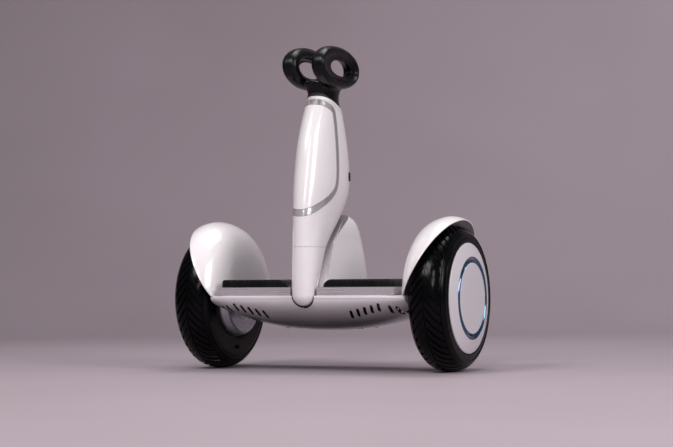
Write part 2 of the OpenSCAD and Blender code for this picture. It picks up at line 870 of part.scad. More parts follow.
module slide_tube() {
    color(silver) translate([0, -post_y, 290]) difference() {
        cylinder(r = 16, h = 228);
        translate([0, 0, 6]) cylinder(r = post_r + 0.05, h = 240);
    }
}

// Upright block with round ends, from x0 to x1, where the release button sits
release_z = 381;
module release_slot(r, x0, x1) {
    translate([x0, 14, release_z]) rotate([90, 0, 90]) linear_extrude(x1 - x0) {
        square([2 * r, 12], center = true);
        for (s = [-1, 1]) translate([0, 6 * s]) circle(r, $fn = 32);
    }
}

// Spring button that frees the height post
module release_button() {
    color(black) release_slot(2.9, 26, 34);
}

// ---------- head ----------

module height_post() {
    color([0.4, 0.4, 0.42]) translate([0, -post_y, 320]) difference() {
        cylinder(r = post_r, h = 236);
        translate([0, 0, -1]) cylinder(r = post_r - 2, h = 236);
    }
}

// Black neck: a foot that follows the collar's slope, rising to the pads
neck_front = [[500, -90], [515, -84], [530, -77], [545, -78], [562, -90]];
neck_rear = [[500, 17], [512, 14], [528, 10], [545, 11], [562, 22]];
neck_half = [[500, 28], [515, 27.2], [530, 25], [545, 26], [562, 32]];
neck_levels = levels(500, 562, 12);
module neck() {
    color(black) difference() {
        intersection() {
            loft([for (z = neck_levels)
                ring(curve(neck_half, z), curve(neck_front, z), curve(neck_rear, z), z, 2.3)]);
            above_slope(collar_z + collar_h + 0.6);
        }
        translate([0, -post_y, 480]) cylinder(r = post_r + 0.05, h = 76);
    }
}

loop_y = -42;                // middle of the loop pads, front to back

// Oval outline in side view, as [y, z]: middle y, half length, half height
function loop_oval(y, b, h, n = 2.2) = [
    for (i = [0 : 47])
        let (t = 7.5 * i)
        [y + b * spow(cos(t), 2 / n), loop_z + h * spow(sin(t), 2 / n)]
];
// Slices of a loop pad: [half width, cut off the length, cut off the height]
loop_steps = [
    [loop_w / 2 - 8, 0, 0], [loop_w / 2 - 4, 0.4, 2.5], [loop_w / 2 - 1.5, 1, 5],
    [loop_w / 2, 1.5, 8]
];

// Slab across a loop pad, between two distances from its middle plane
module slab(outline, lo, hi) {
    translate([loop_x + (lo + hi) / 2, 0, 0]) side_block(outline, (hi - lo) / 2);
}

module loop_pad(s) {
    color(black) on_side(s) difference() {
        for (step = loop_steps)
            slab(loop_oval(loop_y, loop_len / 2 - step[1], loop_h / 2 - step[2]),
                 -step[0], step[0]);
        // the opening is longer on the inner side, with a recess round each of its ends
        slab(loop_oval(loop_y + 17, 45, 15), 2, 20);
        slab(loop_oval(loop_y + 2, 61, 18), -20, 3);
        slab(loop_oval(loop_y + 8, 64, 24), 10, 20);
        slab(loop_oval(loop_y + 5, 71, 30), 13, 20);
        slab(loop_oval(loop_y, 68, 25), -20, -11);
        // seat on the neck
        neck_seat();
    }
}
module neck_seat() {
    loft([for (z = concat(neck_levels, [562.1]))
        ring(curve(neck_half, z) + 0.1, curve(neck_front, z) - 0.1,
             curve(neck_rear, z) + 0.1, z, 2.3)]);
}
module loop_pad_left() { loop_pad(1); }
module loop_pad_right() { loop_pad(-1); }

chassis_frame();
lower_hull();
battery_hatch();
stand_socket();
hatch_screws();
battery_pack();
control_board();
heat_sink();
deck_plate();
foot_mat_left();
foot_mat_right();
foot_sensors();
fender_left();
fender_right();
center_fin();
fin_trim();
tail_light();
charge_port();
axle_left();
axle_right();
axle_clamps();
motor_stators();
button_guide();
pivot_housing();
pivot_bearings();
centering_spring();
lean_sensor();
charge_port_cover();
power_button();
tyre_left();
rim_left();
magnet_ring_left();
wheel_bearings_left();
outer_cover_left();
light_ring_left();
hub_cap_left();
inner_cover_left();
valve_stem_left();
tyre_right();
rim_right();
magnet_ring_right();
wheel_bearings_right();
outer_cover_right();
light_ring_right();
hub_cap_right();
inner_cover_right();
valve_stem_right();
bar_base_shell();
bar_rear_shell();
bar_front_panel();
bar_trim();
top_collar();
bar_bracket();
slide_tube();
pivot_shaft();
release_button();
height_post();
neck();
loop_pad_left();
loop_pad_right();
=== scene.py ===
"""Visual model of the self-balancing riding robot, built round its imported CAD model.

Lengths in the shape code are millimetres, as in the CAD model: the front faces -Y, the rider's
left is +X, +Z is up. They turn into metres where a mesh is made.
"""

import json
import math

import bmesh
import bpy
import numpy as np
from mathutils import Matrix, Vector
from mathutils.kdtree import KDTree


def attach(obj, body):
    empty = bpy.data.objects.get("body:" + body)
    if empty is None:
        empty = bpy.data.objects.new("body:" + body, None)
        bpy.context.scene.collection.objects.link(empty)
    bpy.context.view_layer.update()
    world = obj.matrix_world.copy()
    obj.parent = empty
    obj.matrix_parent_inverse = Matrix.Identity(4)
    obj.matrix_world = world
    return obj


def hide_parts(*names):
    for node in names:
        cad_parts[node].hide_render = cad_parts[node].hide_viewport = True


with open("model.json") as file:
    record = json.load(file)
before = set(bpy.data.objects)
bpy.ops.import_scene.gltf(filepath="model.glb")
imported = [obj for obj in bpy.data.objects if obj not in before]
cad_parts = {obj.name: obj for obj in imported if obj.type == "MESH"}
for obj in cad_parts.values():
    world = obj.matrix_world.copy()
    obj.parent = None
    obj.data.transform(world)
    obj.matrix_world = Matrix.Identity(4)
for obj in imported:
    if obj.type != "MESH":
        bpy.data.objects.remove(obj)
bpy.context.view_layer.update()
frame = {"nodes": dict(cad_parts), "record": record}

MM = 0.001

# ---------- sizes that the CAD model is built from ----------

AXLE_Z = 140.0
WHEEL_X = 250.5
TYRE_R = 140.0
TYRE_HALF_W = 37.5
DISC_R = 105.4
RING_R = 79.0
GROOVE = 11.0
DISC_X = 289.0
DOME = 7.0
RIM_Z = 147.0
HULL_DEPTH = 69.0
HULL_X = 206.0
HULL_Y = 130.0
DECK_Z = 163.0
MAT_Z = 178.0
WALL = 3.0
LEAN_Z = 147.0
SEAM_Z = 240.0
TIP_Z = 127.5
POST_Y = 45.0
COLLAR_Z = 518.0
COLLAR_H = 7.0
TRIM_W = 11.5
LOOP_X = 30.0
LOOP_Y = -42.0
LOOP_Z = 591.5
TONGUE_R = 24.0
TONGUE_GAP = 27.8
PORT_X = 70.0
PORT_Z = 122.0
HUB_ROOM = 82.0
HATCH_X = 88.0
HATCH_Y = 46.0
HATCH_GAP = 0.4
SCREW_X, SCREW_Y = 79.0, 37.0
PORT_HOLE_R = 13.4            # holes for the charge port and the power button
EAR_HALF = 10.4               # room for the charge port's hinge ears
AXLE_ROOM = 12.4
FIN_TOP = 307.0


# ---------- curves ----------

def curve(keys, t):
    """Smooth value at t through keys of (position, value)."""
    n = len(keys)
    t = min(max(t, keys[0][0]), keys[-1][0])
    i = 0
    while i < n - 2 and t >= keys[i + 1][0]:
        i += 1

    def slope(k):
        a, b = max(k - 1, 0), min(k + 1, n - 1)
        return (keys[b][1] - keys[a][1]) / (keys[b][0] - keys[a][0])

    h = keys[i + 1][0] - keys[i][0]
    s = (t - keys[i][0]) / h
    return ((2 * s**3 - 3 * s**2 + 1) * keys[i][1] + (s**3 - 2 * s**2 + s) * h * slope(i)
            + (3 * s**2 - 2 * s**3) * keys[i + 1][1] + (s**3 - s**2) * h * slope(i + 1))


def oval(count, power):
    """Cosine-like and sine-like values round a rounded-square outline."""
    t = np.linspace(0, 2 * np.pi, count, endpoint=False)
    c, s = np.cos(t), np.sin(t)
    e = 2 / power
    return np.sign(c) * np.abs(c) ** e, np.sign(s) * np.abs(s) ** e


def spread(count):
    """Values from -1 to 1 that crowd towards both ends."""
    return np.sin(np.linspace(-np.pi / 2, np.pi / 2, count))


# ---------- meshes ----------

def new_object(name, verts, faces, sharp=35):
    mesh = bpy.data.meshes.new(name)
    mesh.from_pydata([tuple(v) for v in np.asarray(verts, float) * MM], [], faces)
    bm = bmesh.new()
    bm.from_mesh(mesh)
    bmesh.ops.remove_doubles(bm, verts=bm.verts, dist=2e-6)
    bmesh.ops.dissolve_degenerate(bm, edges=bm.edges, dist=1e-6)
    bmesh.ops.recalc_face_normals(bm, faces=bm.faces)
    bm.to_mesh(mesh)
    bm.free()
    obj = bpy.data.objects.new(name, mesh)
    bpy.context.scene.collection.objects.link(obj)
    shade(obj, sharp)
    return obj


def shade(obj, sharp=35):
    mesh = obj.data
    mesh.polygons.foreach_set("use_smooth", [True] * len(mesh.polygons))
    mesh.set_sharp_from_angle(angle=math.radians(sharp))


def grid_faces(rows, cols, wrap_rows=False, wrap_cols=False, first=0):
    faces = []
    for r in range(rows if wrap_rows else rows - 1):
        for c in range(cols if wrap_cols else cols - 1):
            r2, c2 = (r + 1) % rows, (c + 1) % cols
            faces.append((first + r * cols + c, first + r * cols + c2,
                          first + r2 * cols + c2, first + r2 * cols + c))
    return faces


def loft(name, rings, sharp=35):
    """Closed solid through rings that have the same number of points."""
    rows, cols = len(rings), len(rings[0])
    verts = [p for ring in rings for p in ring]
    faces = grid_faces(rows, cols, wrap_cols=True)
    faces.append(tuple(range(cols)))
    faces.append(tuple((rows - 1) * cols + i for i in reversed(range(cols))))
    return new_object(name, verts, faces, sharp)


def torus_grid(name, points, sharp=35):
    """Closed surface whose grid wraps both ways."""
    rows, cols = len(points), len(points[0])
    verts = [p for row in points for p in row]
    return new_object(name, verts, grid_faces(rows, cols, True, True), sharp)


def prism(points, axis, lo, hi, name="cutter"):
    """2-D outline made into a block along an axis; a point gives the other two axes in order."""
    rings = []
    for level in (lo, hi):
        rings.append([tuple(np.insert(np.asarray(p, float), axis, level)) for p in points])
    return loft(name, rings)


def block(lo, hi, name="cutter"):
    return prism([(lo[0], lo[1]), (hi[0], lo[1]), (hi[0], hi[1]), (lo[0], hi[1])],
                 2, lo[2], hi[2], name)


def rod(axis, r, lo, hi, centre, count=64, name="cutter"):
    """Round rod along an axis; centre gives the other two axes in order."""
    t = np.linspace(0, 2 * np.pi, count, endpoint=False)
    points = np.stack([centre[0] + r * np.cos(t), centre[1] + r * np.sin(t)], 1)
    return prism(points, axis, lo, hi, name)


def boolean(obj, other, operation="DIFFERENCE", keep=False, sharp=35):
    mod = obj.modifiers.new("boolean", "BOOLEAN")
    mod.operation, mod.object, mod.solver = operation, other, "MANIFOLD"
    graph = bpy.context.evaluated_depsgraph_get()
    mesh = bpy.data.meshes.new_from_object(obj.evaluated_get(graph))
    obj.modifiers.clear()
    old, obj.data = obj.data, mesh
    mesh.name = obj.name
    bpy.data.meshes.remove(old)
    if not keep:
        bpy.data.objects.remove(other)
    shade(obj, sharp)
    return obj


def copy_of(obj, name):
    new = bpy.data.objects.new(name, obj.data.copy())
    bpy.context.scene.collection.objects.link(new)
    return new


def drop(*objs):
    for obj in objs:
        bpy.data.objects.remove(obj)


def bevel(obj, width, segments=2, angle=40):
    """Rounds the sharp edges with a modifier, so the mesh itself stays as it is."""
    mod = obj.modifiers.new("bevel", "BEVEL")
    mod.width, mod.segments, mod.limit_method = width * MM, segments, "ANGLE"
    mod.angle_limit = math.radians(angle)
    mod.harden_normals = True
    return obj


def lathe(name, outline, side=1, count=192, centre=(0.0, AXLE_Z), sharp=30):
    """Turned solid about an axis along X; the outline is a closed list of (radius, x)."""
    t = np.linspace(0, 2 * np.pi, count, endpoint=False)
    rows = [[(side * x, centre[0] + r * math.sin(a), centre[1] + r * math.cos(a))
             for r, x in outline] for a in t]
    return torus_grid(name, rows, sharp)


def rounded(points, radius, steps=4):
    """Closed outline with its corners rounded by up to radius."""
    pts = np.asarray(points, float)
    out = []
    n = len(pts)
    for i in range(n):
        p, a, b = pts[i], pts[i - 1], pts[(i + 1) % n]
        la, lb = np.linalg.norm(a - p), np.linalg.norm(b - p)
        r = min(radius, la / 2.2, lb / 2.2)
        s, e = p + (a - p) / la * r, p + (b - p) / lb * r
        for k in range(steps + 1):
            u = k / steps
            out.append((1 - u) ** 2 * s + 2 * u * (1 - u) * p + u**2 * e)
    return out


# ---------- camera, floor and light ----------

CAMERA_AZ, CAMERA_EL, CAMERA_ROLL = 25.18, -2.06, -0.4
CAMERA_DISTANCE = 3.1233
CAMERA_LENS = 84.52           # millimetres, on a 36 mm wide sensor
AIM_SIDE, AIM_UP = 0.00756, 0.28831


def make_camera():
    az, el, roll = (math.radians(v) for v in (CAMERA_AZ, CAMERA_EL, CAMERA_ROLL))
    back = Vector((math.sin(az) * math.cos(el), -math.cos(az) * math.cos(el), math.sin(el)))
    right = (-back).cross(Vector((0, 0, 1))).normalized()
    up = right.cross(-back)
    right, up = (right * math.cos(roll) + up * math.sin(roll),
                 up * math.cos(roll) - right * math.sin(roll))
    data = bpy.data.cameras.new("camera")
    data.lens, data.sensor_width, data.sensor_fit = CAMERA_LENS, 36.0, "HORIZONTAL"
    data.clip_start, data.clip_end = 0.05, 50.0
    cam = bpy.data.objects.new("camera", data)
    bpy.context.scene.collection.objects.link(cam)
    spot = back * CAMERA_DISTANCE + right * AIM_SIDE + up * AIM_UP
    cam.matrix_world = Matrix([[right[i], up[i], back[i], spot[i]] for i in range(3)]
                              + [[0, 0, 0, 1]])
    bpy.context.scene.camera = cam


def make_lights():
    def area(name, spot, aim, size, power, colour=(1, 1, 1)):
        data = bpy.data.lights.new(name, "AREA")
        data.shape, data.size, data.size_y = "RECTANGLE", size[0], size[1]
        data.energy, data.color = power, colour
        obj = bpy.data.objects.new(name, data)
        bpy.context.scene.collection.objects.link(obj)
        obj.location = spot
        obj.rotation_euler = (Vector(aim) - Vector(spot)).to_track_quat("-Z", "Y").to_euler()

    middle = (0, 0, 0.32)
    area("key_light", (-0.65, -2.1, 2.4), middle, (1.0, 1.0), 46, (1.0, 0.985, 0.98))
    area("strip_light", (0.9, -2.6, 1.7), middle, (0.5, 1.2), 24, (1.0, 0.98, 0.985))
    area("side_light", (2.6, -0.9, 1.6), middle, (1.0, 1.6), 52, (1.0, 0.98, 0.99))
    area("top_light", (0.1, 0.5, 2.5), middle, (1.6, 1.2), 32)
    area("backdrop_light", (1.48, 2.02, 1.6), (-0.1, 3.45, 1.3), (0.8, 0.8), 19)
    world = bpy.data.worlds.new("studio")
    world.use_nodes = True
    background = world.node_tree.nodes["Background"]
    background.inputs["Color"].default_value = (0.60, 0.555, 0.59, 1)
    background.inputs["Strength"].default_value = 0.34
    bpy.context.scene.world = world
    bpy.context.scene.view_settings.view_transform = "Standard"


def make_floor():
    """Pale floor that sweeps up into a backdrop behind the object."""
    near, far, sweep, height = -9.0, 1.9, 1.4, 4.5
    half, steps = 9.0, 16
    profile = [(near, 0.0), (far, 0.0)]
    for i in range(1, steps + 1):
        a = math.pi / 2 * i / steps
        profile.append((far + sweep * math.sin(a), sweep * (1 - math.cos(a))))
    profile.append((far + sweep, height))
    az = math.radians(CAMERA_AZ)
    away, side = Vector((-math.sin(az), math.cos(az), 0)), Vector((math.cos(az), math.sin(az), 0))
    verts = []
    for d, z in profile:
        for s in (-half, half):
            verts.append((away * d + side * s + Vector((0, 0, z))) / MM)
    floor = new_object("floor", verts, grid_faces(len(profile), 2), 80)
    return floor


# ---------- materials ----------

class Surface:
    """A procedural material: object-space patterns drive its colour, roughness and bump."""

    def __init__(self, name, **sockets):
        self.mat = bpy.data.materials.new(name)
        self.mat.use_nodes = True
        self.tree = self.mat.node_tree
        self.shader = self.tree.nodes["Principled BSDF"]
        self.coords = self.tree.nodes.new("ShaderNodeTexCoord").outputs["Object"]
        for key, value in sockets.items():
            self.shader.inputs[key.replace("_", " ")].default_value = value

    def node(self, kind, **values):
        node = self.tree.nodes.new("ShaderNode" + kind)
        for key, value in values.items():
            if hasattr(node, key):
                setattr(node, key, value)
            else:
                node.inputs[key.replace("_", " ")].default_value = value
        return node

    def link(self, source, target):
        self.tree.links.new(source, target)

    def stretched(self, scale, centre=(0, 0, 0)):
        node = self.node("Mapping", Scale=scale, Location=[-c * s for c, s in zip(centre, scale)])
        self.link(self.coords, node.inputs["Vector"])
        return node.outputs["Vector"]

    def noise(self, scale, detail=3.0, roughness=0.5, stretch=(1, 1, 1)):
        node = self.node("TexNoise", Scale=scale, Detail=detail, Roughness=roughness)
        self.link(self.stretched(stretch), node.inputs["Vector"])
        return node.outputs["Fac"]

    def span(self, value, low, high, from_low=0.3, from_high=0.7):
        """value, from one range to another."""
        node = self.node("MapRange", From_Min=from_low, From_Max=from_high,
                         To_Min=low, To_Max=high)
        self.link(value, node.inputs["Value"])
        return node.outputs["Result"]

    def math(self, operation, a, b):
        node = self.node("Math", operation=operation)
        self.link(a, node.inputs[0])
        self.link(b, node.inputs[1])
        return node.outputs[0]

    def mix(self, factor, a, b):
        node = self.node("Mix", data_type="RGBA")
        self.link(factor, node.inputs["Factor"])
        for socket, colour in ((node.inputs[6], a), (node.inputs[7], b)):
            if isinstance(colour, (tuple, list)):
                socket.default_value = (*colour, 1)
            else:
                self.link(colour, socket)
        return node.outputs[2]

    def finish(self, colour, roughness, height=None, depth=0.1, strength=0.3):
        """depth is the bump's height in millimetres."""
        self.link(colour, self.shader.inputs["Base Color"])
        self.link(roughness, self.shader.inputs["Roughness"])
        if height is not None:
            bump = self.node("Bump", Strength=strength, Distance=depth * MM)
            self.link(height, bump.inputs["Height"])
            self.link(bump.outputs["Normal"], self.shader.inputs["Normal"])
        return self.mat


def tinted(colour, factor):
    return tuple(min(1.0, c * factor) for c in colour)


def painted(name, colour, rough, coat=0.0, variation=0.05, grain=900, depth=0.02, metal=0.0,
            scuffs=0.3):
    """Moulded or painted surface: cloudy tone, faint grain, and scuffs that dull the gloss."""
    s = Surface(name, Metallic=metal, Coat_Weight=coat, Coat_Roughness=0.06)
    cloud = s.noise(9, 3)
    scratch = s.noise(60, 6, 0.7, (1, 0.25, 2.5))
    tone = s.mix(s.span(cloud, 0, 1), tinted(colour, 1 - variation), tinted(colour, 1 + variation))
    worn = s.mix(s.span(scratch, 0, 0.35, 0.58, 0.75), tone, tinted(colour, 0.9))
    dull = s.math("MULTIPLY", s.span(scratch, 0, scuffs, 0.5, 0.8), s.span(cloud, 0.4, 1.0))
    roughness = s.math("ADD", s.span(cloud, rough * 0.85, rough * 1.15), dull)
    return s.finish(worn, roughness, s.noise(grain, 2), depth, 0.25)


def brushed(name, colour, rough, stretch, metal=1.0, variation=0.12, depth=0.02):
    """Metal with fine lines; stretch is small along the lines."""
    s = Surface(name, Metallic=metal, Coat_Weight=0.1)
    lines = s.noise(1, 4, 0.7, stretch)
    cloud = s.noise(14, 2)
    tone = s.mix(s.span(lines, 0, 1), tinted(colour, 1 - variation), tinted(colour, 1 + variation))
    colour_out = s.mix(s.span(cloud, 0, 0.4), tone, tinted(colour, 0.85))
    roughness = s.math("ADD", s.span(lines, rough * 0.8, rough * 1.2),
                       s.span(cloud, -0.04, 0.04))
    return s.finish(colour_out, roughness, lines, depth, 0.35)


def rubber(name, colour, rough, grain=1500, depth=0.04, dust=0.25, gloss=0.3):
    """Moulded rubber: fine pitted grain with pale dust that gathers in patches."""
    s = Surface(name, Specular_IOR_Level=gloss)
    grains = s.noise(grain, 3, 0.6)
    cloud = s.noise(16, 4, 0.6)
    smear = s.noise(45, 5, 0.7, (1, 1, 0.3))
    tone = s.mix(s.span(cloud, 0, 1), tinted(colour, 0.8), tinted(colour, 1.25))
    dusty = s.mix(s.span(smear, 0, dust, 0.5, 0.8), tone, (0.05, 0.047, 0.048))
    roughness = s.math("ADD", s.span(grains, rough * 0.88, rough * 1.1),
                       s.span(smear, -0.05, 0.08))
    return s.finish(dusty, roughness, grains, depth, 0.4)


def silver_with_painted_light(name, top, bottom):
    """Satin silver: painted shade dark at the fin's top, a bright painted reflection at its foot.
    """
    s = Surface(name, Metallic=0.55, Coat_Weight=0.3)
    split = s.node("SeparateXYZ")
    s.link(s.coords, split.inputs["Vector"])
    grain = s.noise(1, 3, 0.6, (900, 900, 60))
    # painted light: dark painted shade at the fin's top, a bright painted reflection at its foot
    painted_light_fade = s.span(split.outputs["Z"], 0, 1, FIN_TOP * MM, (DECK_Z + 10) * MM)
    tone = s.mix(painted_light_fade, top, bottom)
    worn = s.mix(s.span(grain, 0, 0.06), tone, bottom)
    return s.finish(worn, s.span(grain, 0.24, 0.28), grain, 0.002, 0.15)


def paint_with_painted_shade(name, top, bottom):
    """Glossy paint with painted shade: the hull's white lip turns to a dark grey belly."""
    s = Surface(name, Coat_Weight=0.5, Coat_Roughness=0.08)
    split = s.node("SeparateXYZ")
    s.link(s.coords, split.inputs["Vector"])
    cloud = s.noise(9, 3)
    height = s.math("ADD", split.outputs["Z"], s.span(cloud, -0.0015, 0.0015))
    # painted shade: the colour darkens from the lip down to the belly
    painted_light_fade = s.span(height, 1, 0, 0.096, 0.142)
    tone = s.mix(painted_light_fade, top, bottom)
    worn = s.mix(s.span(s.noise(60, 6, 0.7), 0, 0.15, 0.58, 0.75), tone, (0.3, 0.29, 0.3))
    return s.finish(worn, s.span(cloud, 0.2, 0.28), s.noise(500, 2), 0.008, 0.25)


def make_materials():
    made = {}

    def add(kind, name, *values, **options):
        made[name] = kind(name, *values, **options)

    add(painted, "white_shell", (0.72, 0.685, 0.70), 0.2, coat=0.65, variation=0.018,
        grain=500, depth=0.008, scuffs=0.10)
    # painted shade: white at the hull's lip, dark grey towards the belly
    add(paint_with_painted_shade, "hull_paint", (0.66, 0.63, 0.65), (0.05, 0.049, 0.055))
    add(brushed, "silver_deck", (0.66, 0.61, 0.65), 0.3, (9, 500, 700), metal=0.7)
    add(brushed, "bright_trim", (0.86, 0.84, 0.85), 0.2, (60, 60, 900),
        metal=0.8, variation=0.04, depth=0.004)
    # painted light on the fin's band: painted shade at its top, painted reflection at its foot
    add(silver_with_painted_light, "fin_trim", (0.20, 0.19, 0.20), (0.80, 0.77, 0.79))
    add(rubber, "foot_rubber", (0.0025, 0.0025, 0.003), 0.32, dust=0.05, gloss=0.2)
    add(rubber, "tyre_rubber", (0.001, 0.001, 0.0014), 0.2, grain=900, dust=0.01, gloss=0.1)
    add(painted, "disc_white", (0.56, 0.525, 0.56), 0.42, coat=0.15,
        variation=0.02, grain=1400, depth=0.02, scuffs=0.12)
    add(rubber, "pad_foam", (0.002, 0.002, 0.0025), 0.28, grain=2200, depth=0.015,
        dust=0.02, gloss=0.2)
    add(painted, "black_plastic", (0.006, 0.006, 0.007), 0.45, variation=0.15,
        grain=1200, depth=0.03)
    add(brushed, "button_silver", (0.5, 0.49, 0.51), 0.33, (20, 500, 500))
    add(painted, "lamp_red", (0.32, 0.006, 0.008), 0.12, coat=1.0, grain=300)
    add(ring_glow, "light_blue")
    add(painted, "cast_alloy", (0.42, 0.42, 0.44), 0.42, metal=0.9, grain=500,
        depth=0.06, variation=0.1)
    add(swirled, "hub_alloy", (0.42, 0.42, 0.47))
    add(brushed, "machined_steel", (0.5, 0.5, 0.52), 0.28, (20, 700, 700))
    add(brushed, "drawn_tube", (0.46, 0.46, 0.48), 0.3, (700, 700, 15))
    add(brushed, "motor_iron", (0.36, 0.21, 0.12), 0.4, (600, 30, 30), metal=0.8)
    add(brushed, "brass_insert", (0.62, 0.44, 0.17), 0.28, (30, 30, 900))
    add(painted, "battery_cells", (0.03, 0.06, 0.22), 0.3, coat=0.5, grain=250, depth=0.1)
    add(painted, "circuit_board", (0.012, 0.11, 0.05), 0.35, coat=0.3, grain=300,
        depth=0.05, variation=0.2)
    return made


def ring_glow(name):
    """Deep blue light guide: clear coat over a dark, slightly lit blue."""
    s = Surface(name, Metallic=0.75, Coat_Weight=1.0, Coat_Roughness=0.03,
                Emission_Strength=0.02)
    s.shader.inputs["Emission Color"].default_value = (0.0, 0.30, 0.62, 1)
    cloud = s.noise(20, 2)
    ticks = s.noise(700, 2, 0.5)
    tone = s.mix(s.span(cloud, 0, 1), (0.003, 0.045, 0.105), (0.006, 0.085, 0.18))
    return s.finish(tone, s.span(cloud, 0.14, 0.22), ticks, 0.01, 0.2)


def swirled(name, colour):
    """Turned metal: rings round the wheel axle."""
    s = Surface(name, Metallic=0.85, Coat_Weight=0.2)
    radial = s.node("TexGradient", gradient_type="SPHERICAL")
    centred = s.stretched((0, 5, 5), (0, 0, AXLE_Z * MM))
    s.link(centred, radial.inputs["Vector"])
    rings = s.node("TexNoise", Scale=170.0, Detail=4.0)
    combine = s.node("CombineXYZ")
    s.link(radial.outputs["Fac"], combine.inputs["X"])
    s.link(combine.outputs["Vector"], rings.inputs["Vector"])
    cloud = s.noise(12, 3)
    tone = s.mix(s.span(rings.outputs["Fac"], 0, 1), tinted(colour, 0.55), tinted(colour, 1.25))
    roughness = s.math("ADD", s.span(rings.outputs["Fac"], 0.2, 0.32),
                       s.span(cloud, -0.05, 0.05))
    return s.finish(tone, roughness, rings.outputs["Fac"], 0.03, 0.3)


def floor_material():
    s = Surface("floor_paper", Specular_IOR_Level=0.25)
    fibres = s.noise(900, 4, 0.6)
    cloud = s.noise(1.2, 2)
    tone = s.mix(s.span(cloud, 0, 1), (0.315, 0.262, 0.292), (0.345, 0.288, 0.322))
    return s.finish(tone, s.span(fibres, 0.55, 0.65), fibres, 0.05, 0.1)


MATERIALS = make_materials()


def place(obj, body, slot, replaces=(), material=None):
    """Gives a finished piece its material and its body, and hides the CAD nodes that it stands
    for.
    """
    obj.data.materials.clear()
    obj.data.materials.append(MATERIALS[material or slot])
    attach(obj, body)
    if replaces:
        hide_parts(*replaces)
    return obj


# ---------- hull ----------

def hull_half_y(x):
    return HULL_Y - 8 * abs(x / HULL_X) ** 8


def hull_drop(x):
    return HULL_DEPTH * (1 - abs(x / 235) ** 2.2) ** 0.62


HULL_T = spread(121)
RIM_BAND = 6.0                # height of the band round the hull's upper edge
LIP_Z = RIM_Z - RIM_BAND      # where the belly's curve meets the rim band
BELLY_POWER, BELLY_ROUND = 2.4, 0.62
RIM_OUT = 1.0                 # how far the rim band stands proud of the belly


def hull_section(x, inset, z_top, bead):
    """Cross-section at x: belly from the rear lip to the front lip, then the rim band."""
    hy = hull_half_y(x) - inset
    d = hull_drop(x) - RIM_BAND - inset
    belly = [(x, hy * t, LIP_Z - d * (1 - abs(t) ** BELLY_POWER) ** BELLY_ROUND) for t in HULL_T]
    if not bead:
        return belly + [(x, hy, z_top), (x, -hy, z_top)]
    out, r = RIM_OUT, 1.6
    band = [(hy + out - 0.5, LIP_Z), (hy + out, LIP_Z + 0.6), (hy + out, z_top - r)]
    band += [(hy + out - r + r * math.cos(a), z_top - r + r * math.sin(a))
             for a in np.linspace(0.3, math.pi / 2, 4)]
    return (belly + [(x, y, z) for y, z in band]
            + [(x, -y, z) for y, z in reversed(band)])


def hull_block(name, inset, z_top, bead=False):
    end = HULL_X - inset
    xs = list(end * spread(97))
    return loft(name, [hull_section(x, inset, z_top, bead) for x in xs], 30)


def slot_outline(cx, cz, lean, width, height, steps=8):
    """Upright slot with round ends, leaning by an angle in degrees, as (x, z)."""
    a = math.radians(lean)
    pts = []
    for end in (1, -1):
        for k in range(steps + 1):
            b = math.pi * k / steps - (0 if end == 1 else math.pi)
            px = width / 2 * math.cos(b)
            pz = end * (height - width) / 2 + width / 2 * math.sin(b)
            pts.append((cx + px * math.cos(a) + pz * math.sin(a),
                        cz - px * math.sin(a) + pz * math.cos(a)))
    return pts


VENT_LEAN, VENT_W, VENT_H = 14, 5.8, 16


def vents():
    """Places of the air slots on one side: a falling row of five and an outer pair."""
    return ([(92 + 15 * i, 111 + 3.4 * i) for i in range(5)]
            + [(172 + 12 * i, 121 - 2 * i) for i in range(2)])


def notch_outline():
    """Notch for the steering bar's tip: a half round that opens slightly towards the deck."""
    arc = [(TONGUE_R * math.cos(a), LEAN_Z + TONGUE_R * math.sin(a))
           for a in np.linspace(-math.pi, 0, 33)]
    return arc + [(TONGUE_GAP, 165), (-TONGUE_GAP, 165)]


def paint_inside_shade(hull):
    """Paints every face inside the hull's wall black: painted shade that darkens the vents."""
    hull.data.materials.append(MATERIALS["black_plastic"])
    skin = 0.9                # faces this near the outside keep their paint
    for face in hull.data.polygons:
        x, y, z = face.center / MM
        d = hull_drop(min(abs(x), HULL_X)) - RIM_BAND
        hy = hull_half_y(min(abs(x), HULL_X))
        t = min(abs(y) / hy, 1.0)
        belly = LIP_Z - d * (1 - t**BELLY_POWER) ** BELLY_ROUND
        if abs(x) < HULL_X - skin and abs(y) < hy - skin and belly + skin < z < RIM_Z - skin:
            face.material_index = 1


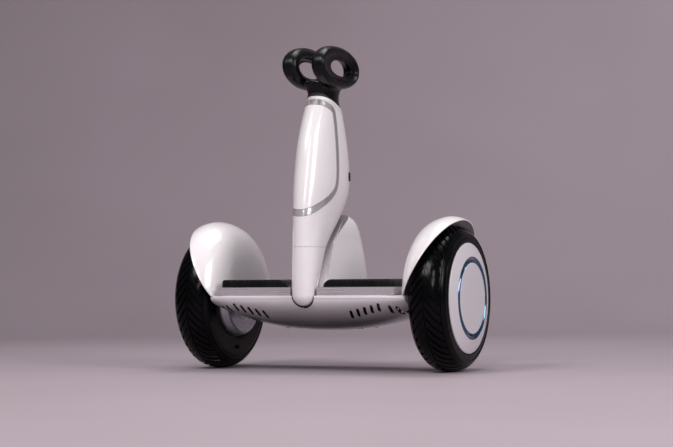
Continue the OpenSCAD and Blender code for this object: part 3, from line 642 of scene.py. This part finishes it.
def make_hull():
    """Hull shell with its openings, and the belly hatch cut from the same shape."""
    hull = hull_block("hull_shell", 0, RIM_Z, bead=True)
    boolean(hull, hull_block("cutter", WALL, RIM_Z + 5))
    walls = hull_block("walls", 0.2, RIM_Z)
    hub_wall = 189.5          # inner end of the room for a wheel's hub
    near, far = hub_wall - WALL, HULL_X + 5
    rings = rod(0, HUB_ROOM + WALL, near, far, (0, AXLE_Z), 128)
    boolean(rings, rod(0, HUB_ROOM + WALL, -far, -near, (0, AXLE_Z), 128), "UNION")
    boolean(walls, rings, "INTERSECT")
    boolean(hull, walls, "UNION")
    cutters = [
        block((-HATCH_X - HATCH_GAP, -HATCH_Y - HATCH_GAP, 60),
              (HATCH_X + HATCH_GAP, HATCH_Y + HATCH_GAP, 110)),
        prism(notch_outline(), 1, -160, -90),
        rod(1, PORT_HOLE_R, 90, 140, (PORT_X, PORT_Z)),
        rod(1, PORT_HOLE_R, 90, 140, (-PORT_X, PORT_Z)),
        block((PORT_X - EAR_HALF, 120, PORT_Z + 5), (PORT_X + EAR_HALF, 140, PORT_Z + 18.4)),
    ]
    for s in (-1, 1):
        cutters.append(rod(0, HUB_ROOM, *sorted((s * hub_wall, s * 220)), (0, AXLE_Z), 128))
        cutters.append(rod(0, AXLE_ROOM, *sorted((s * 150, s * 220)), (0, AXLE_Z)))
        for x, z in vents():
            cutters.append(prism(slot_outline(s * x, z, s * VENT_LEAN, VENT_W, VENT_H),
                                 1, -150, 150))
    for cutter in cutters:
        boolean(hull, cutter, sharp=30)
    # hull_paint carries painted shade that darkens the belly
    place(hull, "chassis", "white_shell", ["lower_hull"], "hull_paint")
    # painted shade: black inner faces make the vents look dark
    paint_inside_shade(hull)

    hatch = hull_block("belly_hatch", 0, RIM_Z)
    boolean(hatch, hull_block("cutter", WALL, RIM_Z + 5))
    boolean(hatch, block((-HATCH_X, -HATCH_Y, 60), (HATCH_X, HATCH_Y, 110)), "INTERSECT")
    holes = [rod(2, 8, 60, 120, (0, 0))]
    for sx in (-1, 1):
        for sy in (-1, 1):
            spot = (sx * SCREW_X, sy * SCREW_Y)
            holes.append(rod(2, 4.3, 60, 84.6, spot, 32))
            holes.append(rod(2, 2.2, 60, 120, spot, 24))
    # shallow grip grooves across the hatch
    for y in (-27, -21, 21, 27):
        holes.append(block((-62, y - 1, 60), (62, y + 1, 83.2)))
    for cutter in holes:
        boolean(hatch, cutter)
    place(hatch, "chassis", "silver_deck", ["battery_hatch"])


# ---------- foot mats ----------

MAT_IN, MAT_OUT = 38.0, 184.0
MAT_ROUND = 20.0              # length of the quarter round at the mat's inner end
MAT_END = 9.0                 # length of the round at its outer end
RIB_PITCH, RIB_GAP = 9.4, 3.2
RIB_START, RIB_COUNT = 3, 12  # first groove after the inner round, and how many there are


def corner_in(distance, radius):
    """How far a round corner draws the edge in, at a distance from the mat's end."""
    d = max(radius - distance, 0.0)
    return radius - math.sqrt(max(radius**2 - d**2, 0.0))


def mat_top(x):
    """Height of the mat's top at x: a quarter round, then ribs with rounded edges."""
    start = MAT_IN + MAT_ROUND
    if x < start:
        rise = 1 - ((start - x) / MAT_ROUND) ** 2
        return DECK_Z + 1 + (MAT_Z - DECK_Z - 1) * math.sqrt(max(0, rise))
    if x > MAT_OUT - MAT_END:
        rise = 1 - ((x - MAT_OUT + MAT_END) / MAT_END) ** 2
        return DECK_Z + 3 + (MAT_Z - DECK_Z - 3) * math.sqrt(max(0.0, rise))
    first = start + RIB_START
    phase = (x - first) % RIB_PITCH
    if x < first or x > first + (RIB_COUNT - 1) * RIB_PITCH + RIB_GAP:
        return MAT_Z
    if phase < RIB_GAP:
        return MAT_Z - 2.5
    edge = min(phase - RIB_GAP, RIB_PITCH - phase)
    return MAT_Z - 0.9 * max(0.0, 1 - edge / 1.4) ** 2


def make_mat(side, name):
    """Rubber mat with rounded ribs that run front to back."""
    start = MAT_IN + MAT_ROUND + RIB_START
    xs = [MAT_IN + MAT_ROUND * (1 - math.cos(a)) for a in np.linspace(0, math.pi / 2, 20)]
    for i in range(RIB_COUNT):
        g = start + RIB_PITCH * i
        xs += [g - 1.4, g - 0.8, g - 0.3, g - 0.02, g + 0.02, g + RIB_GAP - 0.02,
               g + RIB_GAP + 0.02, g + RIB_GAP + 0.3, g + RIB_GAP + 0.8, g + RIB_GAP + 1.4]
    xs += [MAT_OUT - MAT_END * (1 - math.sin(a)) for a in np.linspace(0, math.pi / 2, 14)]
    rings = []
    for x in sorted(set(xs)):
        top = mat_top(x)
        front = -122 + max(corner_in(x - MAT_IN, 3), corner_in(MAT_OUT - x, 8))
        rear = 120 - max(corner_in(x - MAT_IN, 8), corner_in(MAT_OUT - x, 8))
        lift = min(1.2, top - DECK_Z - 0.2)
        ring = [(front, DECK_Z), (front, top - lift), (front + 0.35 * lift, top - 0.35 * lift),
                (front + lift, top)]
        ring += [(y, top) for y in np.linspace(front + 8, rear - 8, 5)]
        ring += [(rear - lift, top), (rear - 0.35 * lift, top - 0.35 * lift), (rear, top - lift),
                 (rear, DECK_Z)]
        rings.append([(side * x, y, z) for y, z in ring])
    mat = loft(name, rings, 42)
    place(mat, "chassis", "foot_rubber", [name.replace("mat_", "foot_mat_")])


# ---------- fenders ----------

FENDER_KEYS = [(187.5, 30), (189, 70), (192, 96), (200, 122), (212, 139), (226, 149),
               (240, 154.5), (255, 157), (270, 155), (280, 151)]


def fender_edge_x(z):
    return 199 + (z - 141) * 0.545


def fender_profile():
    """Points of the fender's outside at even steps along it, with their outward normals."""
    xs = np.concatenate([np.linspace(187.5, 192, 300), np.linspace(192, 280, 1400)[1:]])
    rs = np.array([curve(FENDER_KEYS, x) for x in xs])
    step = np.hypot(np.diff(xs), np.diff(rs))
    s = np.concatenate([[0], np.cumsum(step)])
    dx, dr = np.gradient(xs, s), np.gradient(rs, s)
    size = np.hypot(dx, dr)
    return s, xs, rs, -dr / size, dx / size


def make_fender(side, name):
    """Hood over a wheel: a turned shell, cut along a slope and rolled over at its free edge."""
    s, xs, rs, nx, nr = fender_profile()
    top = math.degrees(math.acos((RIM_Z - AXLE_Z) / np.interp(fender_edge_x(RIM_Z), xs, rs)))
    angles = top * np.sin(np.linspace(-np.pi / 2, np.pi / 2, 181))
    columns, thick, round_steps = 84, WALL, 5
    rows = []
    for deg in angles:
        cos_a, sin_a = math.cos(math.radians(deg)), math.sin(math.radians(deg))
        low = max(30.0, (RIM_Z - AXLE_Z) / max(cos_a, 1e-6))
        s_low = np.interp(low, rs[:1000], s[:1000])
        beyond = xs - fender_edge_x(AXLE_Z + rs * cos_a)
        crossing = np.where(beyond > 0)[0]
        if len(crossing):
            k = crossing[0]
            u = beyond[k - 1] / (beyond[k - 1] - beyond[k])
            s_high = s[k - 1] + u * (s[k] - s[k - 1])
        else:
            s_high = s[-1]
        s_high = max(s_high, s_low + 0.4)
        where = np.linspace(s_low, s_high, columns)
        x, r = np.interp(where, s, xs), np.interp(where, s, rs)
        ax, ar = np.interp(where, s, nx), np.interp(where, s, nr)
        outer = list(zip(x, r))
        inner = list(zip(x - thick * ax, r - thick * ar))
        # the free edge is rolled over in a half round
        ex, er = x[-1] - thick / 2 * ax[-1], r[-1] - thick / 2 * ar[-1]
        tx, tr = ar[-1], -ax[-1]
        roll = []
        for a in np.linspace(math.pi / 2, -math.pi / 2, round_steps + 2)[1:-1]:
            roll.append((ex + thick / 2 * (math.sin(a) * ax[-1] + math.cos(a) * tx),
                         er + thick / 2 * (math.sin(a) * ar[-1] + math.cos(a) * tr)))
        loop = outer + roll + inner[::-1]
        rows.append([(side * px, pr * sin_a, AXLE_Z + pr * cos_a) for px, pr in loop])
    fender = loft(name, rows, 40)
    boolean(fender, rod(0, 16, *sorted((side * 170, side * 215)), (0, AXLE_Z)), sharp=40)
    place(fender, "chassis", "white_shell", [name])


# ---------- center fin ----------

FIN_FRONT = [(163, -92), (178, -86), (220, -60), (250, -38), (280, -3), (297, 24), (307, 52)]
FIN_REAR = [(163, 153), (181, 152), (220, 144), (250, 133), (280, 115), (297, 96), (307, 70)]
FIN_HALF = [(163, 33), (182, 30.5), (210, 26.5), (239, 23), (255, 21.5), (271, 20.8),
            (285, 18.5), (297, 14), (304, 8), (307, 3)]
# rear edge of the bright band on the fin's front, as (z, y); it widens over the top
BAND_EDGE = [(150, -97), (163, -90), (178, -84), (220, -57.5), (250, -35.5), (262, -21),
             (271, -8), (285, 18), (297, 46), (303, 62), (309, 80)]


def fin_ring(half, y0, y1, z):
    """A nearly flat front with small rounds at its corners, sides that close at the rear."""
    t = np.linspace(0, math.pi, 121)
    e = 2 / 2.6
    x = half * np.sign(np.cos(t)) * np.abs(np.cos(t)) ** e
    y = y0 + (y1 - y0) * np.abs(np.sin(t)) ** e
    r = min(1.8, half * 0.4)
    pts = [(px, py) for px, py in zip(x, y) if py > y0 + r]
    pts = [(half, y0 + r)] + pts + [(-half, y0 + r)]
    corner = [(half * -1 + r * (1 - math.cos(a)), y0 + r * (1 - math.sin(a)) - 0.12)
              for a in np.linspace(0.3, math.pi / 2, 5)]
    flat = [(half * u, y0 - 1.5 * (1 - u * u) - 0.12) for u in np.linspace(-0.8, 0.8, 9)]
    pts += corner + flat + [(-px, py) for px, py in reversed(corner)]
    return [(px, py, z) for px, py in resampled(pts, 150)]


def resampled(points, count):
    """The outline with a fixed number of points; corners keep their density."""
    pts = np.asarray(points + points[:1], float)
    step = np.hypot(*np.diff(pts, axis=0).T) ** 0.5
    s = np.concatenate([[0], np.cumsum(step)])
    where = np.linspace(0, s[-1], count, endpoint=False)
    return list(zip(np.interp(where, s, pts[:, 0]), np.interp(where, s, pts[:, 1])))


def fin_block(name, inset):
    rings = []
    top = FIN_TOP - inset
    for i in range(81):
        z = DECK_Z + (top - DECK_Z) * math.sin(math.pi / 2 * i / 80)
        half = max(curve(FIN_HALF, z) - inset, 0.4)
        y0, y1 = curve(FIN_FRONT, z) + inset, curve(FIN_REAR, z) - inset
        if i == 0 and inset:
            z -= 1
        rings.append(fin_ring(half, y0, y1, z))
    # the top closes in a small round instead of an edge
    for k, drop_in in ((0.75, 0.35), (0.4, 0.62), (0.1, 0.72)):
        last = np.array(rings[80])
        centre = last.mean(0)
        rings.append([tuple(centre + (p - centre) * (k, k, 1) + (0, 0, drop_in)) for p in last])
    return loft(name, rings, 40)


def fin_band_block(inset):
    pts = [(-150, 320), (-150, 150)]
    pts += [(curve(BAND_EDGE, z) + inset, z) for z in np.linspace(150, 309, 80)]
    return prism(pts + [(84 + inset, 320)], 0, -60, 60)


def make_fin():
    """Fin shell, the silver band on its front and the fluted tail light."""
    skin = fin_block("skin", 0)
    boolean(skin, fin_block("cutter", WALL))
    fin = copy_of(skin, "fin_shell")
    boolean(fin, fin_band_block(0.0))
    boolean(fin, tail_block(0))
    place(fin, "chassis", "white_shell", ["center_fin"])
    band = copy_of(skin, "fin_band")
    boolean(band, fin_band_block(-0.5), "INTERSECT")
    place(band, "chassis", "fin_trim", ["fin_trim"])
    drop(skin)
    lens = fin_block("tail_lens", 0.4)
    boolean(lens, fin_block("cutter", WALL))
    boolean(lens, tail_block(0.3), "INTERSECT")
    # moulded flutes across the lens
    for i in range(9):
        boolean(lens, rod(0, 1.1, -20, 20, (curve(FIN_REAR, 209 + 4.2 * i) + 0.2, 209 + 4.2 * i),
                          16), sharp=40)
    place(lens, "chassis", "lamp_red", ["tail_light"])


def tail_block(inset):
    pts = rounded([(-11 + inset, 205 + inset), (11 - inset, 205 + inset),
                   (11 - inset, 246 - inset), (-11 + inset, 246 - inset)], 6, 6)
    return prism(pts, 1, 90, 160)


# ---------- wheels ----------

SEAT_R = 106.0                # where the tyre's round section starts
TREAD_REPEATS = 46
SHEAR = 2.1                   # how far a groove runs round the tyre, in repeats
# side of the tyre from its bead to the tread's edge: radius and distance from the mid-plane
SIDEWALL = [(107.5, 37.3), (111, 37.4), (115.5, 36.9), (118.2, 36.5), (119.0, 37.3),
            (120.6, 37.5), (122.2, 37.1), (123.0, 35.9), (125.5, 34.6)]
# the inner side reaches further in, over the rim
APRON = [(77.2, 34.2), (77.3, 35.8), (78.2, 36.8), (80, 37.2), (86, 37.4), (98, 37.4)]


def groove_depth(phase, across):
    """Depth of the tread pattern, where across runs from -1 to 1 over the tread."""
    side = abs(across)
    if side < 0.035 or 0.93 < side < 0.965:
        return 1.6            # the ring grooves: one in the middle, one near each shoulder
    if 0.08 < side < 0.9 and phase < 0.21 + 0.13 * side:
        return 3.0            # the slanted grooves, wider towards the shoulder
    return 0.0


def make_tyre(side, name):
    """Tyre whose tread rises from a crowned section, repeated round the axle."""
    half_tread, crown_power = 31.5, 2.35
    # steps across the tread, close together at the edges of each groove
    marks = [0.0, 0.033, 0.037, 0.078, 0.082, 0.418, 0.422, 0.898, 0.902, 0.928, 0.932, 0.963,
             0.967, 1.0]
    fine = sorted(set(marks + list(np.linspace(0.1, 0.9, 17).round(3))))
    across = [-v for v in reversed(fine[1:])] + fine
    outer = []
    for a in across:
        u = half_tread * a
        shape = 1 - (abs(u) / (TYRE_HALF_W + 1.5)) ** crown_power
        outer.append((SEAT_R + (TYRE_R - SEAT_R) * shape ** (1 / crown_power), WHEEL_X - u, a))
    left = [(r, WHEEL_X + dx, None) for r, dx in [(105.9, 34.2), (106.0, 36.4)] + SIDEWALL]
    right = [(r, WHEEL_X - dx, None) for r, dx in APRON + SIDEWALL]
    section = left + outer + right[::-1]
    # close the section through the rim seat
    section += [(104.4, WHEEL_X - 33.9, None), (104.4, WHEEL_X + 33.9, None)]
    # steps round one repeat, close together where a groove can end
    phases = [0.0, 0.03, 0.13, 0.2, 0.22, 0.24, 0.26, 0.28, 0.3, 0.32, 0.36, 0.5, 0.75, 0.97]
    pitch = 2 * math.pi / TREAD_REPEATS
    rows = []
    for k in range(TREAD_REPEATS):
        for f in phases:
            row = []
            for r, x, a in section:
                if a is None:
                    shear, depth = SHEAR, 0.0
                else:
                    shear, depth = SHEAR * abs(a) ** 0.85, groove_depth(f, a)
                angle = pitch * (k + f + shear) + math.pi
                rr = r - depth
                row.append((side * x, -rr * math.sin(angle), AXLE_Z + rr * math.cos(angle)))
            rows.append(row)
    tyre = torus_grid(name, rows, 28)
    return place(tyre, "wheel_" + name.split("_")[1], "tyre_rubber", [name])


DISC_BACK, CHANNEL_BACK = 290.2, 290.4


def make_wheel(side, word):
    """Tyre, outer disc, light channel, centre cap and inner disc of one wheel."""
    body = "wheel_" + word
    make_tyre(side, "tyre_" + word)

    def dome_x(r):
        return DISC_X + DOME * (1 - (r / DISC_R) ** 2) / (1 - (RING_R / DISC_R) ** 2)

    face = [(DISC_R, 287.2), (DISC_R, 288.2), (DISC_R - 0.35, 288.8), (DISC_R - 1.1, 289.25)]
    face += [(r, dome_x(r)) for r in np.linspace(DISC_R - 2.2, RING_R + 0.9, 26)]
    face += [(RING_R + 0.35, dome_x(RING_R) - 0.15), (RING_R + 0.05, dome_x(RING_R) - 0.6),
             (RING_R + 0.05, DISC_BACK), (0.5, DISC_BACK), (0.5, 285.6), (DISC_R - 1, 285.6)]
    disc = lathe("outer_disc_" + word, face, side, sharp=40)
    place(disc, body, "disc_white", ["outer_cover_" + word])

    inner_r = RING_R - GROOVE
    channel = [(inner_r + 0.1, CHANNEL_BACK), (RING_R - 0.1, CHANNEL_BACK)]
    channel_depth = 4.6
    for u in np.linspace(0, 1, 25):
        r = RING_R - 0.1 - (GROOVE - 0.2) * u
        dip = channel_depth * max(math.sin(math.pi * u), 0.0) ** 0.8
        channel.append((r, DISC_X + DOME - 0.35 - dip))
    ring = lathe("light_channel_" + word, channel, side, sharp=45)
    place(ring, body, "light_blue", ["light_ring_" + word])

    cap = [(inner_r - 0.1, CHANNEL_BACK), (inner_r - 0.1, DISC_X + DOME - 0.9),
           (inner_r - 0.5, DISC_X + DOME - 0.1), (inner_r - 1.3, DISC_X + DOME + 0.2)]
    cap += [(r, DISC_X + DOME + 0.25 + 1.45 * (1 - (r / inner_r) ** 2))
            for r in np.linspace(inner_r - 2.5, 0.5, 22)]
    cap += [(0.5, CHANNEL_BACK)]
    centre = lathe("hub_centre_" + word, cap, side, sharp=40)
    place(centre, body, "disc_white", ["hub_cap_" + word])

    steps = rounded([(14, 195), (40, 195), (44, 197), (66, 197), (71, 199.5), (74, 205),
                     (76.4, 213), (76.4, 218.5), (73.4, 218.5), (73.4, 214), (71, 206),
                     (68.5, 201.5), (66, 200), (42, 200), (40, 198), (14, 198)], 1.5, 4)
    inner = lathe("inner_disc_" + word, steps, side, sharp=40)
    place(inner, body, "cast_alloy", ["inner_cover_" + word], "hub_alloy")


# ---------- steering bar ----------

BAR_TOP = 545.0
BAR_FRONT = [(142, -147), (165, -147.5), (200, -147), (246, -146), (320, -142), (400, -128),
             (450, -115), (500, -93), (545, -68)]
BAR_REAR = [(142, -102), (165, -96), (200, -80), (246, -51), (290, -3), (325, 32), (352, 47),
            (400, 47), (450, 38), (515, 16), (545, 6)]
BAR_HALF = [(142, 21), (165, 23.7), (200, 25.7), (246, 27.3), (320, 34), (360, 37.5),
            (420, 37), (480, 33), (520, 28.5), (545, 25)]
BAR_POWER = 2.3
TIP_START = 150.0             # the round tip begins here
TIP_Y = -128.0                # the tip's lowest point


def bar_ring(z, grow, count=176):
    """Level outline of the bar at z, grown outwards by grow."""
    c, s = oval(count, BAR_POWER)
    zk = max(z, TIP_START)
    half, y0, y1 = curve(BAR_HALF, zk), curve(BAR_FRONT, zk), curve(BAR_REAR, zk)
    if z < TIP_START:
        k = math.sqrt(max(0.0, 1 - ((TIP_START - z) / (TIP_START - TIP_Z)) ** 2))
        k = max(k, 0.03)
        half, y0, y1 = half * k, TIP_Y + (y0 - TIP_Y) * k, TIP_Y + (y1 - TIP_Y) * k
    half, y0, y1 = max(half + grow, 0.3), y0 - grow, y1 + grow
    return [(half * a, (y0 + y1) / 2 + (y1 - y0) / 2 * b, z) for a, b in zip(c, s)]


def bar_block(name, grow, z_top=BAR_TOP):
    a = np.linspace(0, math.pi / 2, 26)
    low = TIP_Z - min(grow, 0)
    zs = [low + (TIP_START - low) * (1 - math.cos(v)) for v in a]
    zs += list(np.linspace(TIP_START, z_top, 150))[1:]
    return loft(name, [bar_ring(z, grow) for z in zs], 40)


def above_slope(z):
    """Everything above a plane that falls towards the rear, z at the post."""
    return prism([(-200, z + 55.8), (100, z - 52.2), (100, 700), (-200, 700)], 0, -60, 60)


GAP = 0.5                     # dark line on both sides of the bright strip
PANEL_Y = [(0, -170), (1, -143), (2, -106), (3, -71), (4, -51), (5, -44.5), (6, -43), (7, -43),
           (8, -46), (9, -62), (10, -90), (11, -170)]
PANEL_Z = [(0, 296.5), (1, 298.5), (2, 315), (3, 334), (4, 354), (5, 385), (6, 440), (7, 492),
           (8, 510), (9, 521), (10, 532), (11, 560)]


def panel_outline(inset):
    """Side-view outline round the front panel and its bright strip, drawn in by inset."""
    def at(t):
        return np.array([curve(PANEL_Y, t), curve(PANEL_Z, t)])

    pts = []
    for t in np.linspace(0, 11, 177):
        d = at(t + 0.05) - at(t - 0.05)
        pts.append(at(t) + inset * np.array([-d[1], d[0]]) / np.linalg.norm(d))
    return pts


def panel_block(inset, half=60):
    return prism(panel_outline(inset), 0, -half, half)


def make_bar():
    """Steering bar's skins: base, rear shell, front panel, bright strip and top collar."""
    skin = bar_block("skin", 0)
    boolean(skin, bar_block("cutter", -WALL, BAR_TOP + 1))

    base = copy_of(skin, "bar_base")
    boolean(base, block((-60, -200, SEAM_Z - 0.25), (60, 100, 700)))
    boolean(base, rod(1, 11, -112, -60, (0, LEAN_Z)))
    place(base, "steering_bar", "white_shell", ["bar_base_shell"])

    rear = copy_of(skin, "bar_shell")
    boolean(rear, panel_block(-GAP))
    boolean(rear, block((-60, -200, 100), (60, 100, SEAM_Z + 0.25)))
    boolean(rear, above_slope(COLLAR_Z - 0.3))
    boolean(rear, prism(slot_outline(14, 381, 0, 6.6, 18.6), 0, 20, 40))
    place(rear, "steering_bar", "white_shell", ["bar_rear_shell"])

    panel = copy_of(skin, "bar_panel")
    boolean(panel, panel_block(TRIM_W + GAP), "INTERSECT")
    place(panel, "steering_bar", "white_shell", ["bar_front_panel"])

    strip = bar_block("bar_strip", 0.5)
    boolean(strip, bar_block("cutter", -WALL, BAR_TOP + 1))
    boolean(strip, panel_block(0.3), "INTERSECT")
    boolean(strip, panel_block(TRIM_W - 0.3, 61))
    place(strip, "steering_bar", "bright_trim", ["bar_trim"])
    drop(skin)

    collar = bar_block("bar_collar", 0.2)
    boolean(collar, above_slope(COLLAR_Z), "INTERSECT")
    boolean(collar, above_slope(COLLAR_Z + COLLAR_H))
    boolean(collar, rod(2, 17, 400, 600, (0, -POST_Y)))
    place(collar, "steering_bar", "bright_trim", ["top_collar"], "white_shell")


# ---------- head: neck and loop pads ----------

NECK_FRONT = [(500, -90), (515, -84), (530, -77), (545, -78), (562, -90)]
NECK_REAR = [(500, 17), (512, 14), (528, 10), (545, 11), (562, 22)]
NECK_HALF = [(500, 28), (515, 27.2), (530, 25), (545, 26), (562, 32)]


def neck_ring(z, grow=0.0):
    c, s = oval(144, 2.3)
    half, y0, y1 = (curve(k, z) for k in (NECK_HALF, NECK_FRONT, NECK_REAR))
    half, y0, y1 = half + grow, y0 - grow, y1 + grow
    return [(half * a, (y0 + y1) / 2 + (y1 - y0) / 2 * b, z) for a, b in zip(c, s)]


# Cross-section of a loop pad, from the crisp rim on its outer face over the crest to the
# inner face and back through the opening: distance from the mid-plane (outwards), shift of
# the middle to the rear, half length, half height
LOOP_PROFILE = [
    (15.0, 0, 79.5, 30.6), (14.9, 0, 80.8, 32.4), (13.4, 0, 83.2, 36.2), (9.5, 0, 84.4, 39.5),
    (4.5, 0, 84.5, 41.2), (-1.0, 0, 84.5, 41.5), (-5.5, 0, 84.3, 40.9), (-9.0, 0, 83.2, 38.8),
    (-12.5, 0, 80.0, 35.2), (-14.7, 0, 75.5, 31.2), (-15.0, 0, 71.5, 28.4),
    (-14.2, 1, 67.5, 25.2), (-12.0, 2, 64.0, 22.0), (-8.0, 2, 61.6, 19.0), (-3.0, 5, 58.0, 17.4),
    (0.5, 12, 50.5, 16.2), (3.8, 16, 46.4, 15.4), (5.4, 16, 46.8, 15.8), (6.4, 14, 51.5, 17.6),
    (7.2, 10, 60.0, 20.4), (8.6, 6.0, 69.0, 23.6), (11.4, 2, 74.6, 26.6),
    (14.2, 0.5, 77.6, 29.0),
]


def loop_pad(side):
    keys = np.array(LOOP_PROFILE)
    n = len(keys)
    profile = []
    for i in range(n):
        p0, p1, p2, p3 = keys[i - 1], keys[i], keys[(i + 1) % n], keys[(i + 2) % n]
        for u in np.linspace(0, 1, 4, endpoint=False):
            profile.append(0.5 * (2 * p1 + (p2 - p0) * u + (2 * p0 - 5 * p1 + 4 * p2 - p3) * u**2
                                  + (3 * p1 - p0 - 3 * p2 + p3) * u**3))
    c, s = oval(260, 2.16)
    rows = [[(side * (LOOP_X + x), LOOP_Y + shift + b * ca, LOOP_Z + h * sa)
             for x, shift, b, h in profile] for ca, sa in zip(c, s)]
    return torus_grid("loop", rows, 50)


def soften(obj, seeds, reach, rounds):
    """Smooths the mesh round the seed points, less and less out to the reach."""
    tree = KDTree(len(seeds))
    for i, p in enumerate(seeds):
        tree.insert(p, i)
    tree.balance()
    bm = bmesh.new()
    bm.from_mesh(obj.data)
    near = []
    for v in bm.verts:
        d = tree.find(v.co)[2]
        if d < reach * MM:
            near.append((v, 1 - (d / (reach * MM)) ** 2))
    for _ in range(rounds):
        moved = []
        for v, weight in near:
            middle = sum((e.other_vert(v).co for e in v.link_edges), Vector()) / len(v.link_edges)
            moved.append(v.co.lerp(middle, 0.6 * weight))
        for (v, weight), co in zip(near, moved):
            v.co = co
    bm.to_mesh(obj.data)
    bm.free()


def make_head():
    """Both loop pads and the neck, one soft moulding that flows together where they meet."""
    rings = [neck_ring(z) for z in np.linspace(500, 562, 48)]
    last = np.array(rings[-1])
    for a in np.linspace(0.15, math.pi / 2, 9):
        centre = last.mean(0)
        shrink = max(math.cos(a), 0.02)
        rings.append([tuple(centre + (p - centre) * (shrink, shrink, 1) + (0, 0, 5 * math.sin(a)))
                      for p in last])
    head = loft("head_moulding", rings, 45)
    for side in (1, -1):
        boolean(head, loop_pad(side), "UNION")
    bm = bmesh.new()
    bm.from_mesh(head.data)
    bmesh.ops.triangulate(bm, faces=[f for f in bm.faces if len(f.verts) > 4])
    bm.normal_update()
    seeds = [v.co.copy() for e in bm.edges if not e.is_convex and len(e.link_faces) == 2
             and e.calc_face_angle(0) > 0.35 and max(v.co.z for v in e.verts) < 574.5 * MM
             for v in e.verts]
    bm.to_mesh(head.data)
    bm.free()
    soften(head, seeds, 15, 45)
    boolean(head, above_slope(COLLAR_Z + COLLAR_H + 0.6), "INTERSECT")
    boolean(head, rod(2, 12.6, 480, 556, (0, -POST_Y)), sharp=38)
    place(head, "bar_head", "pad_foam", ["neck", "loop_pad_left", "loop_pad_right"])

    foot = loft("neck_foot", [neck_ring(z, 0.9) for z in np.linspace(500, 562, 40)], 40)
    boolean(foot, above_slope(COLLAR_Z + COLLAR_H + 0.4), "INTERSECT")
    boolean(foot, above_slope(COLLAR_Z + COLLAR_H + 4.0))
    boolean(foot, rod(2, 12.6, 480, 600, (0, -POST_Y)))
    place(foot, "bar_head", "pad_foam", material="black_plastic")


# ---------- carried-over CAD nodes ----------

BEVELLED = {"deck_plate": 0.9, "charge_port": 0.5, "charge_port_cover": 0.5,
            "power_button": 0.6, "button_guide": 0.5, "release_button": 0.7,
            "stand_socket": 0.4, "hatch_screws": 0.4, "pivot_housing": 0.6,
            "chassis_frame": 0.6, "axle_clamps": 0.6, "bar_bracket": 0.6,
            "valve_stem_left": 0.3, "valve_stem_right": 0.3}


def finish_cad_nodes():
    slots = {p["node"]: p["material_slot"] for p in frame["record"]["subparts"]}
    for name, obj in frame["nodes"].items():
        obj.data.materials.clear()
        obj.data.materials.append(MATERIALS[slots[name]])
        shade(obj, 30)
        if name in BEVELLED:
            bevel(obj, BEVELLED[name])


# ---------- the scene ----------

make_camera()
make_lights()
floor = make_floor()
floor.data.materials.append(floor_material())

finish_cad_nodes()
make_hull()
make_mat(1, "mat_left")
make_mat(-1, "mat_right")
make_fender(1, "fender_left")
make_fender(-1, "fender_right")
make_fin()
make_wheel(1, "left")
make_wheel(-1, "right")
make_bar()
make_head()
